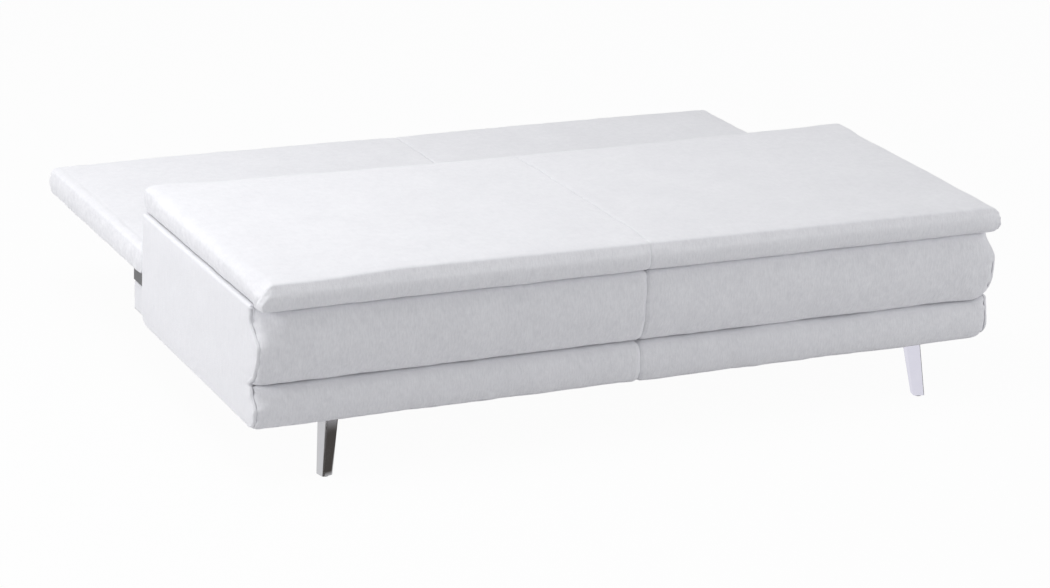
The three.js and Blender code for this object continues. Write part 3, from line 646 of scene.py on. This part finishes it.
def roll_line(roll, steps, inset, full):
    """The front of a roll. full is how far its top is pushed up against what lies on it, from 0 to 1."""
    turn = np.linspace(0, math.pi, steps + 1)
    upper = np.cos(turn) >= 0
    reach = np.where(upper, roll["top"] - roll["bulge"], roll["bulge"] - roll["bottom"])
    above, below = roll["powers"]
    swell = np.abs(np.sin(turn)) ** np.where(upper, 1 / (1.15 + (above - 1.15) * full), 1 / below)
    height = np.cos(turn) * np.abs(np.cos(turn)) ** np.where(upper, 1 / (1 + 0.5 * full) - 1, 0)
    depth = roll["root"] - (roll["root"] - roll["nose"] - inset) * swell
    return np.stack([depth, roll["bulge"] + reach * height], 1)


def end_pull(roll, y, z, x):
    """How far the end of a roll at x is pulled back below what lies on it, most at its top."""
    reach, most, share = 50, 0.25, eased((z - roll["bulge"] - 4) / (roll["top"] - roll["bulge"]) * 1.6)
    if x < 0:
        most = 0.95 if roll is UPPER_ROLL else 0.6
    elif roll is UPPER_ROLL:
        reach, most, share = 26, 0.95, np.clip((z - 345) / 47, 0, 1) ** 2.5
    nearness = float(rounded_in(max(0, reach - (ROLL_HALF - abs(x))), reach, 1, 1.12))
    return (roll["root"] - 4 - y) * share * nearness * most


def roll_outline(roll, steps, inset, x):
    """The closed outline of a roll at x, its front first, and how far and how deep its ends draw in. At the right
    end the crease between the rolls is shallower and rises."""
    front = roll_line(roll, steps, inset, inner_share(x))
    foot, head = (ROLL_BACK, roll["bottom"] + 1), (ROLL_BACK, roll["top"])
    outline = run(front, line(front[-1], foot, 3), line(foot, head, steps - 6), line(head, front[0], 3))[:-1]
    outline += np.linspace(0, 1e-3, len(outline))[:, None]
    y, z = outline.T
    lower = eased((roll["bulge"] - 16 - z) / (roll["bulge"] - roll["bottom"] - 24))
    front = np.clip((ROLL_BACK - y) / 24, 0, 1)
    outline[:, 0] += end_pull(roll, y, z, x)
    if x > 0:
        groove = eased((roll["bulge"] - z) / 90 if roll is UPPER_ROLL else (z - roll["bulge"]) / 50)
        outline[:, 0] -= (y - roll["nose"]) * groove * front * 0.4 * (1 - inner_share(x))
        outline[:, 1] += 15 * (1 - inner_share(x)) ** 6 * np.exp(-((z - ROLL_SEAM) / 45) ** 2)
        low = 6
    else:
        low = 0 if roll is LOWER_ROLL else 7
    return outline, 7 + (10 + 2 * low * lower) * front, 1.5 + (3.5 + low * lower) * front


def make_roll(name, roll, seed):
    def ring_at(x):
        outline, reach, depth = roll_outline(roll, ROLL_STEPS, 0.8 * slack_at(x) + 0.5, x)
        return draw_ends(outline, x, ROLL_HALF, reach, depth, 1.7)

    def held(x, ring):
        y, z = ring[:, 1], ring[:, 2]
        seams = np.maximum(seam_line(z - roll["top"], 1, 14), seam_line(z - roll["bottom"], 1, 14))
        return np.maximum.reduce([np.where(y > roll["root"] - 9, 1.0, seams),
                                  np.full(len(ring), math.exp(-(x / 9) ** 2)),
                                  np.full(len(ring), 0.8 * math.exp(-((ROLL_HALF - abs(x)) / 10) ** 2))])

    def depth_at(p):
        x, y, z = p.T
        showing = np.clip((ROLL_BACK - 2 - y) / 10, 0, 1)
        away = ROLL_HALF - np.abs(x)
        wander = x + 1.6 * np.sin(z / 31.0 + seed)
        seam = seam_line(wander, 3.2, 7) + seam_line(wander, 1.5, 1.6)
        folds = 1.5 * np.exp(-np.abs(x) / 24) * ripple(x * 0.3, z, seed, 16, 60)
        ends = 1.2 * np.exp(-away / 24) * ripple(x * 0.3, z, seed + 1, 14, 40)
        broad = 0.9 * ripple(x, z * 1.3, seed + 2, 110, 380) + 0.3 * ripple(x, z * 1.2, seed + 3, 30, 90)
        return (seam + folds + ends + broad) * showing

    return cushion(name, ring_at, held, depth_at, ROLL_HALF, 18, steps=(12, 24), pressure=3, cap=3, swell=0.3)


# Side panels

# How far the points of a row are from its front end, and from its rear end
FROM_FRONT = np.array([0, 0.6, 1.5, 2.6, 4, 5.5, 7, 8.2, 9.5, 12, 16, 22, 30, 41, 54])
FROM_REAR = np.array([40, 29, 20, 13, 8, 5, 3, 1.4, 0.4, 0])


def roll_end_line(roll, steps, x):
    """The front of a roll at its very end, from its bottom up."""
    outline, reach, depth = roll_outline(roll, steps, 0.5, x)
    return (outline + inward(outline) * depth[:, None])[:steps + 1][::-1]


def side_rows(sign):
    """Front and rear ends of the rows of a side panel, from its bottom up."""
    lower = roll_end_line(LOWER_ROLL, 26, sign * ROLL_HALF)
    upper = roll_end_line(UPPER_ROLL, 34, sign * ROLL_HALF)
    front = np.concatenate([lower, upper, line((ROLL_BACK, SIDE_TOP - 3.5), (ROLL_BACK, SIDE_TOP), 2)])
    corner = arc((BOX_REAR - BOX_CORNER, BOX_BOTTOM + BOX_CORNER), BOX_CORNER, -math.pi / 2, 0, 9)
    rear = run(corner, line((BOX_REAR, BOX_BOTTOM + BOX_CORNER), (BOX_REAR, SIDE_TOP), len(front) - 10))
    return front, rear


def make_side_panel(side):
    sign = 1 if side == "right" else -1
    front, rear = side_rows(sign)
    rings = []
    for (y0, z0), (y1, z1) in zip(front, rear):
        length = y1 - y0
        inner = np.linspace(FROM_FRONT[-1], length - FROM_REAR[0], 46)[1:-1]
        share = np.concatenate([FROM_FRONT, inner, length - FROM_REAR]) / length
        y = y0 + length * share
        z = z1 + (z0 - z1) * (1 - share) ** 5
        outer = np.stack([np.full(len(y), SIDE_OUTER), y, z], 1)
        inner_x = np.where(y < ROLL_BACK + 1, SIDE_INNER, FOAM_INNER)
        rings.append(np.concatenate([outer, np.stack([inner_x, y, z], 1)[::-1]]))
    rings = np.array(rings)
    outline = np.concatenate([front, [(66, SIDE_TOP), (BOX_REAR, SIDE_TOP)], rear[::-1],
                              line((BOX_REAR - BOX_CORNER, BOX_BOTTOM), (57, LOWER_ROLL["bottom"]), 40)])
    for ring in rings:
        face = ring[:rings.shape[1] // 2]
        y, z = face[:, 1], face[:, 2]
        away = distance_to(face[:, 1:], outline)
        round_in = SIDE_ROUND - np.sqrt(np.maximum(0, SIDE_ROUND ** 2 - np.maximum(0, SIDE_ROUND - away) ** 2))
        plump = 1.6 * (1 - np.exp(-away / 26)) + 0.5 * ripple(y, z, 21, 90, 320) * np.clip(away / 40, 0, 1)
        near_front = np.clip((150 - y) / 90, 0, 1) * np.clip((400 - z) / 30, 0, 1)
        stitched = seam_line(away - 8.2, 0.9, 1.3) * near_front
        puckers = 1.1 * np.exp(-away / 20) * near_front * ripple(y * 0.3, z, 25, 12, 40)
        face[:, 0] += -round_in + plump - stitched - puckers
    rings[..., 0] *= sign
    piece = plate_skin(f"side_panel_{side}", rings, FABRIC_UPRIGHT)
    refine(piece)
    return piece


def distance_to(points, outline):
    """How far points are from a closed outline, in its plane."""
    a, b = outline, np.roll(outline, -1, 0)
    along = b - a
    length = np.maximum((along ** 2).sum(1), 1e-9)
    t = np.clip(((points[:, None] - a) * along).sum(2) / length, 0, 1)
    return np.sqrt((((a + along * t[..., None]) - points[:, None]) ** 2).sum(2)).min(1)


def plate_skin(name, rings, material):
    """A closed skin through rings whose first half is one face and second half the other, ends closed flat."""
    count, half = rings.shape[1], range(rings.shape[1] // 2 - 1)
    last = (len(rings) - 1) * count
    faces = quads(len(rings), count, joins=1)
    faces += [(k, count - 1 - k, count - 2 - k, k + 1) for k in half]
    faces += [(last + k, last + k + 1, last + count - 2 - k, last + count - 1 - k) for k in half]
    return new_piece(name, metres(rings.reshape(-1, 3)), faces, material)


# Back pad

def back_ring(x):
    """Outline of the back pad at x, from its near side over the top, down the far side and back under it."""
    slack = slack_at(x)
    top = BACK_TOP - 1.5 * slack
    near, far = BACK_NEAR + 1, BACK_FAR + 7 - 3 * slack
    start, stop = near + BACK_ROUND, far - BACK_FAR_ROUND
    crown_y = np.linspace(start, stop, 43)
    crown_z = top + 2 * np.sin(math.pi * (crown_y - start) / (stop - start))
    under = BACK_BOTTOM + BACK_ROUND
    outline = run(
        line((near, 290), (near, top - BACK_ROUND), 2),
        arc((start, top - BACK_ROUND), BACK_ROUND, math.pi, math.pi / 2, 8),
        np.stack([crown_y, crown_z], 1),
        arc((stop, top - BACK_FAR_ROUND), BACK_FAR_ROUND, math.pi / 2, 0, 10),
        line((far, top - BACK_FAR_ROUND), (far, under), 3),
        arc((stop - 6, under), BACK_ROUND, 0, -math.pi / 2, 8),
        line((stop - 6, BACK_BOTTOM), (start, BACK_BOTTOM), 42),
        arc((start, under), BACK_ROUND, -math.pi / 2, -math.pi, 8),
        line((near, under), (near, 290), 2),
    )[:-1]
    over = np.clip((outline[:, 1] - 285) / 25, 0, 1)
    return draw_ends(outline, x, HALF, 10 + 14 * over, 3 + 12 * over)


def back_held(x, ring):
    y, z = ring[:, 1], ring[:, 2]
    held = np.where((z < BACK_BOTTOM + 3) & (y > BACK_NEAR + 20) & (y < BACK_FAR - 25), 1.0, 0.0)
    return np.maximum(held, math.exp(-(x / 9) ** 2))


def back_depth(p):
    x, y, z = p.T
    showing = np.where(z < BACK_BOTTOM + 1, 0.0, 1.0)
    top = np.clip((z - 300) / 12, 0, 1)
    away = HALF - BORDER - np.abs(x)
    puckers = 0.6 * np.exp(-np.abs(away) / 14) * ripple(x * 0.3, y, 31, 25, 80)
    border = (seam_line(away, 1.0, 3.2) + puckers) * top
    folds = seam_folds(x, y + z, 33)
    broad = 0.8 * ripple(x, y * 1.3 + z, 38, 130, 420) + 0.3 * ripple(x, y * 1.5 + z, 39, 45, 110)
    return (middle_seam(x) + border + folds + broad) * showing


# Covers stretched over the boards

def stretched(name, rows, material, thickness):
    """A sheet through rows of points, thickened inwards."""
    sheet = new_piece(name, metres(rows.reshape(-1, 3)), quads(*rows.shape[:2]), material, closed=False)
    thick = sheet.modifiers.new("thickness", "SOLIDIFY")
    thick.thickness, thick.offset = thickness * 0.001, -1
    apply_modifiers(sheet)
    return sheet


def make_plinth_sheet():
    """Fabric pulled over the top, rear and ends of the plinth, its corners folded under."""
    front, rear, top, foot, radius, half = 772.8, 882.6, 212.6, 139.6, 6, 958.6
    profile = run(line((front, top), (rear - radius, top), 18),
                  arc((rear - radius, top - radius), radius, math.pi / 2, 0, 6),
                  line((rear, top - radius), (rear, foot), 12))
    corner, span = np.array([front, foot]), np.array([rear - front, top - foot])
    into = (4.2, 2.4, 1.1, 0.3)  # from the end, where it rounds over
    places = [(x, 0) for x in np.linspace(0, half - radius, 64)]
    places += [(half - d, radius - math.sqrt(radius ** 2 - (radius - d) ** 2)) for d in into]
    rows = []
    for x, drop in places:
        shrunk = corner + (profile - corner) * (1 - drop / span)
        rows.append(at_x(x, shrunk))
    for share in (0.93, 0.84, 0.7, 0.5, 0.3, 0.1, 0):
        rows.append(at_x(half, corner + (profile - corner) * share))
    rows = np.array(rows)
    rows = np.concatenate([rows[:0:-1] * (-1, 1, 1), rows])
    x, y, z = rows[..., 0], rows[..., 1], rows[..., 2]
    waves = 0.5 * ripple(x, y + z, 61, 60, 240)
    hem = 0.5 * np.exp(-(z - foot) / 14) * ripple(x, y, 62, 18, 50)
    rows[..., 1] -= (0.5 + np.clip(waves + hem, -0.5, 0.5)) * np.clip((y - front) / 60, 0, 1)
    rows[..., 2] -= (0.5 + np.clip(waves, -0.5, 0.5)) * np.clip((z - foot) / 60, 0, 1)
    return stretched("plinth_fabric", rows[::-1], FABRIC_UPRIGHT, 1.3)


def make_flat_sheet(name, x_half, first, last, out, material, thickness, waves, seed):
    """A flat sheet from first to last, each (y, z), with soft waves towards out."""
    first, last, out = (np.array(p, float) for p in (first, last, out))
    width = np.linalg.norm(last - first)
    down = np.linspace(0, 1, round(width / 12) + 1)
    points = first + (last - first) * down[:, None]
    rows = np.array([at_x(x, points) for x in np.linspace(-x_half, x_half, round(x_half / 6) + 1)])
    length = down * width
    edge = np.minimum(length, length[-1] - length)
    lift = waves * (0.6 * ripple(rows[..., 0], length[None], seed, 90, 300)
                    + 0.5 * np.exp(-edge / 22) * ripple(rows[..., 0], length[None] * 0.3, seed + 1, 22, 60))
    rows[..., 1:] += np.clip(lift, -waves, waves)[..., None] * out
    return stretched(name, rows, material, thickness)


# Stitches

def make_stitch():
    """One stitch lying along X, its ends pushed down into the fabric."""
    bpy.ops.mesh.primitive_uv_sphere_add(segments=6, ring_count=5, radius=STITCH_RADIUS * 0.001,
                                         rotation=(0, math.pi / 2, 0))
    stitch = bpy.context.object
    bpy.ops.object.transform_apply(location=False, rotation=True, scale=False)
    bpy.ops.object.mode_set(mode="EDIT")
    bpy.ops.mesh.select_all(action="SELECT")
    bpy.ops.transform.resize(value=(STITCH_LENGTH / STITCH_RADIUS / 2, 1, 0.8))
    bpy.ops.object.mode_set(mode="OBJECT")
    for vertex in stitch.data.vertices:
        vertex.select = abs(vertex.co.x) > STITCH_LENGTH * 0.4e-3
    bpy.ops.object.mode_set(mode="EDIT")
    bpy.ops.mesh.select_mode(type="VERT")
    bpy.ops.transform.translate(value=(0, 0, -STITCH_RADIUS * 0.9e-3))
    bpy.ops.object.mode_set(mode="OBJECT")
    bpy.ops.object.select_all(action="DESELECT")
    return stitch


def sew(name, rows):
    """One piece of stitches, a row for each (padded piece, way to follow in millimetres)."""
    pattern, copies = make_stitch(), []
    for piece, way in rows:
        skin_tree = BVHTree.FromPolygons([v.co for v in piece.data.vertices],
                                         [tuple(f.vertices) for f in piece.data.polygons])
        way = metres(way)
        gone = np.concatenate([[0], np.cumsum(np.linalg.norm(np.diff(way, axis=0), axis=1))])
        for start in np.arange(0, gone[-1] - STITCH_LENGTH * 0.001, STITCH_PITCH * 0.001):
            ends = [Vector([np.interp(at, gone, way[:, k]) for k in range(3)])
                    for at in (start, start + STITCH_LENGTH * 0.001)]
            (a, up_a, _, _), (b, up_b, _, _) = (skin_tree.find_nearest(end) for end in ends)
            along, up = (b - a).normalized(), (up_a + up_b).normalized()
            across = up.cross(along).normalized()
            up = along.cross(across)
            place = Matrix((along, across, up)).transposed().to_4x4()
            place.translation = (a + b) / 2
            mesh = pattern.data.copy()
            mesh.transform(place)
            copies.append(add_object(name, mesh))
    bpy.data.objects.remove(pattern)
    for copy in copies:
        copy.select_set(True)
    bpy.context.view_layer.objects.active = copies[0]
    bpy.ops.object.join()
    bpy.ops.object.select_all(action="DESELECT")
    sewn = bpy.context.view_layer.objects.active
    sewn.name = name
    sewn.data.materials.clear()
    sewn.data.materials.append(THREAD)
    sewn.data.shade_smooth()
    return sewn


def up_front(roll, x, low, high):
    """The way up the front of a roll at x, between two heights."""
    way = roll_line(roll, 40, 0.5, inner_share(x))[::-1]
    way = way[(way[:, 1] > low) & (way[:, 1] < high)]
    return at_x(x, way - (3, 0))


def seat_rows(pad):
    for x in (-STITCH_ASIDE, STITCH_ASIDE):
        yield pad, [(x, -4, 424), (x, -4, 470), (x, 8, 492), (x, 744, 492)]


def roll_rows(upper, lower):
    for x in (-STITCH_ASIDE, STITCH_ASIDE):
        yield upper, up_front(UPPER_ROLL, x, 238, 402)
        yield lower, up_front(LOWER_ROLL, x, 138, 226)
    for x in (8 - ROLL_HALF, ROLL_HALF - 8):
        yield upper, up_front(UPPER_ROLL, x, 244, 350)
        yield lower, up_front(LOWER_ROLL, x, 138, 200)


def back_rows(pad):
    for x in (25 - HALF, HALF - 25, -STITCH_ASIDE, STITCH_ASIDE):
        yield pad, [(x, 800, 330), (x, 1478, 330)]


def cut_rooms(piece, rooms):
    """Cuts boxes, given by their limits in millimetres, out of a piece."""
    blocks = []
    for limits in rooms:
        size = [(b - a) * 0.001 for a, b in limits]
        x, y, z = ((a + b) / 2 * 0.001 for a, b in limits)
        bpy.ops.mesh.primitive_cube_add(size=1, location=(x, y + FRONT_EDGE, z), scale=size)
        blocks.append(bpy.context.object)
    for block in blocks:
        hollow = piece.modifiers.new("room", "BOOLEAN")
        hollow.operation, hollow.object, hollow.solver = "DIFFERENCE", block, "EXACT"
    apply_modifiers(piece)
    for block in blocks:
        bpy.data.objects.remove(block)


# ---------------- stage

SKY, FLOOR_PAINT, FLOOR_WHITE = 0.46, (0.62, 0.62, 0.63), 0.965
# Painted reflections: tones the floor shows only to the polished legs, a painted dark one and painted pale ones,
# lilac to the right.
PAINTED_DARK_REFLECTION, PAINTED_REFLECTION_LEFT, PAINTED_REFLECTION_RIGHT = (0.075, 0.068, 0.062), (0.72, 0.72, 0.72), (0.88, 0.87, 0.95)
SOFTBOXES = (  # name, place, aim, width in metres, watts
    ("left softbox", (-4.5, -0.1, 1.5), (-0.5, -0.3, 0.4), 1.4, 59),
    ("overhead softbox", (-1.6, -0.32, 3.9), (-1.3, -0.22, 0), 2.4, 71),
    ("front softbox", (5.0, -4.8, 1.8), (1.0, -0.7, 0.4), 3.0, 124),
)


def add_floor():
    """A floor that the camera sees white and that throws back light as grey paint does. The polished legs mirror
    painted
    reflections instead: a painted dark patch ahead of the left one, another to the right, and painted pale tones
    between."""
    bpy.ops.mesh.primitive_plane_add(size=60)
    floor = bpy.context.object
    floor.name = "floor"
    material, tree, place = start_material("studio floor")
    tree.nodes.remove(tree.nodes["Principled BSDF"])
    path = tree.nodes.new("ShaderNodeLightPath").outputs
    seen = calc(tree, "MAXIMUM", path["Is Camera Ray"], path["Is Transmission Ray"])
    paint = put(tree, "BsdfDiffuse", {"Color": (*FLOOR_PAINT, 1)}).outputs[0]
    white = put(tree, "Emission", {"Color": (1, 1, 1, 1), "Strength": 1.0}).outputs[0]
    share = calc(tree, "MULTIPLY", seen, FLOOR_WHITE)
    plain = put(tree, "MixShader", {0: share, 1: paint, 2: white}).outputs[0]

    # Painted reflection: glossy rays see tones painted by place, not the lit floor.
    split = put(tree, "SeparateXYZ", {"Vector": place}).outputs
    painted_dark_ahead = calc(tree, "MULTIPLY", graded(tree, split["X"], 0.1, -0.3), graded(tree, split["Y"], -0.72, -0.78))
    # Painted dark reflection to the right of the right leg; the painted pale reflection is greyer on the left and
    # lilac on the right.
    shade = calc(tree, "MULTIPLY", graded(tree, split["X"], 0.81, 0.84), graded(tree, split["Y"], -0.77, -0.74))
    pale = mixed(tree, graded(tree, split["X"], -0.4, 0.4), PAINTED_REFLECTION_LEFT, PAINTED_REFLECTION_RIGHT)
    tone = mixed(tree, calc(tree, "MAXIMUM", painted_dark_ahead, shade), pale, PAINTED_DARK_REFLECTION)
    painted_reflection = put(tree, "Emission", {"Color": tone, "Strength": 1.0}).outputs[0]
    either = put(tree, "MixShader", {0: path["Is Glossy Ray"], 1: plain, 2: painted_reflection}).outputs[0]
    wire(tree, either, tree.nodes["Material Output"].inputs["Surface"])
    floor.data.materials.append(material)


def add_sky():
    """Soft light from all round. The camera and the polished legs see plain white."""
    world = bpy.data.worlds.new("studio")
    bpy.context.scene.world = world
    world.use_nodes = True
    tree = world.node_tree
    path = tree.nodes.new("ShaderNodeLightPath").outputs
    seen = calc(tree, "MAXIMUM", path["Is Glossy Ray"], path["Is Transmission Ray"])
    seen = calc(tree, "MAXIMUM", path["Is Camera Ray"], seen)
    sky = put(tree, "Background", {"Color": (0.985, 0.99, 1, 1), "Strength": SKY}).outputs[0]
    white = put(tree, "Background", {"Color": (1, 1, 1, 1), "Strength": 1.0}).outputs[0]
    mix = put(tree, "MixShader", {0: seen, 1: sky, 2: white}).outputs[0]
    wire(tree, mix, tree.nodes["World Output"].inputs["Surface"])


def add_softbox(name, place, aim, size, watts):
    lamp = add_object(name, bpy.data.lights.new(name, "AREA"))
    lamp.data.shape, lamp.data.size, lamp.data.energy = "DISK", size, watts
    lamp.location = place
    lamp.rotation_mode = "QUATERNION"
    lamp.rotation_quaternion = (Vector(aim) - Vector(place)).to_track_quat("-Z", "Y")


# ---------------- the sofa bed

add_camera()
NAP, GRAIN, WEAR = make_nap_group(), make_grain_group(), make_wear_group()
FABRIC = pile_fabric("pile fabric", (260, 70, 70), (0.89, 0.89, 0.915), (0.75, 0.75, 0.78), 1.1, 1.5)
FABRIC_UPRIGHT = pile_fabric("pile fabric of the ends", (30, 300, 30), (0.87, 0.87, 0.895), (0.76, 0.76, 0.79),
                             0.8, 0.6)
THREAD = pile_fabric("sewing thread", (900, 300, 300), (0.95, 0.95, 0.96), (0.86, 0.86, 0.88))
LINING = woven_lining("black lining")
TIMBER_ALONG = planed_timber("planed rails", (0.5, 6, 6))
TIMBER_ACROSS = planed_timber("planed cross rails", (6, 0.5, 6))
FINISHES = {
    "board": chipboard("chipboard"), "hardboard": hardboard("hardboard"), "upholstery": FABRIC, "lining": LINING,
    "fitting_steel": hard_finish("coated steel", (0.17, 0.17, 0.175), (0.22, 0.22, 0.225), 0.4, 0.6, 0.6, 40, 0.15),
    "spring_steel": hard_finish("plain steel", (0.5, 0.51, 0.53), (0.4, 0.4, 0.42), 0.25, 0.45, 1.0, 60, 0.1),
    "chrome": hard_finish("polished chrome", (0.80, 0.80, 0.82), (0.74, 0.74, 0.77), 0.04, 0.12, 1.0, 25, 0.02),
    "glide": hard_finish("black glide", (0.02, 0.02, 0.02), (0.035, 0.035, 0.035), 0.5, 0.7, 0.0, 50, 0.2),
}

seat_cushion = cushion("seat_cushion", seat_ring, seat_held, seat_depth, HALF, 36, steps=(13, 30), pressure=0.25,
                       cap=4, swell=3)
upper_roll = make_roll("front_roll_padded_upper", UPPER_ROLL, 41)
lower_roll = make_roll("front_roll_padded_lower", LOWER_ROLL, 51)
side_panels = {side: make_side_panel(side) for side in ("left", "right")}
back_cushion = cushion("back_cushion", back_ring, back_held, back_depth, HALF, 34, steps=(13, 30), pressure=0.25,
                       cap=4, swell=2.5)
cut_rooms(seat_cushion, SEAT_ROOMS)
cut_rooms(back_cushion, BACK_ROOMS)

for piece, body, names in (
    (seat_cushion, "seat", ["seat_pad"]), (upper_roll, "base", ["front_roll_upper"]),
    (lower_roll, "base", ["front_roll_lower"]), (side_panels["left"], "base", ["side_cover_left"]),
    (side_panels["right"], "base", ["side_cover_right"]), (back_cushion, "back", ["back_pad"]),
):
    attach(piece, body)
    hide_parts(*names)

plinth_fabric = make_plinth_sheet()
rear_fabric = make_flat_sheet("rear_fabric", 955.6, (770.6, 213.8), (770.6, 410.6), (1, 0), FABRIC_UPRIGHT,
                              thickness=1.2, waves=0.4, seed=71)
lining_sheet = make_flat_sheet("lining_sheet", 949.4, (800.4, 256.2), (1469.6, 256.2), (0, 1), LINING,
                               thickness=0.5, waves=0.6, seed=75)
for name, body, rows in (("seat_stitches", "seat", seat_rows(seat_cushion)),
                         ("roll_stitches", "base", roll_rows(upper_roll, lower_roll)),
                         ("back_stitches", "back", back_rows(back_cushion))):
    stitches = sew(name, rows)
    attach(stitches, body)
for piece, body, name, slot, flat, area, under in (
    (plinth_fabric, "base", "plinth_cover", "upholstery", (2.06, 0.183), 0.367,
     ["plinth_top_board", "plinth_rear_board"]),
    (rear_fabric, "base", "rear_cover", "upholstery", (1.911, 0.197), None, ["rear_board"]),
    (lining_sheet, "back", "back_cover", "lining", (1.899, 0.669), None, ["back_rail_lower", "back_rail_upper"]),
):
    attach(piece, body)
    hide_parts(name)
    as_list(under)

for part in frame["record"]["subparts"]:
    if part["material_slot"] == "timber":
        low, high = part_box(part["node"])
        finish = TIMBER_ALONG if high.x - low.x > high.y - low.y else TIMBER_ACROSS
    else:
        finish = FINISHES[part["material_slot"]]
    for slot in nodes[part["node"]].material_slots:
        slot.material = finish

add_floor()
add_sky()
for softbox in SOFTBOXES:
    add_softbox(*softbox)

bpy.context.scene.view_settings.view_transform = "Standard"
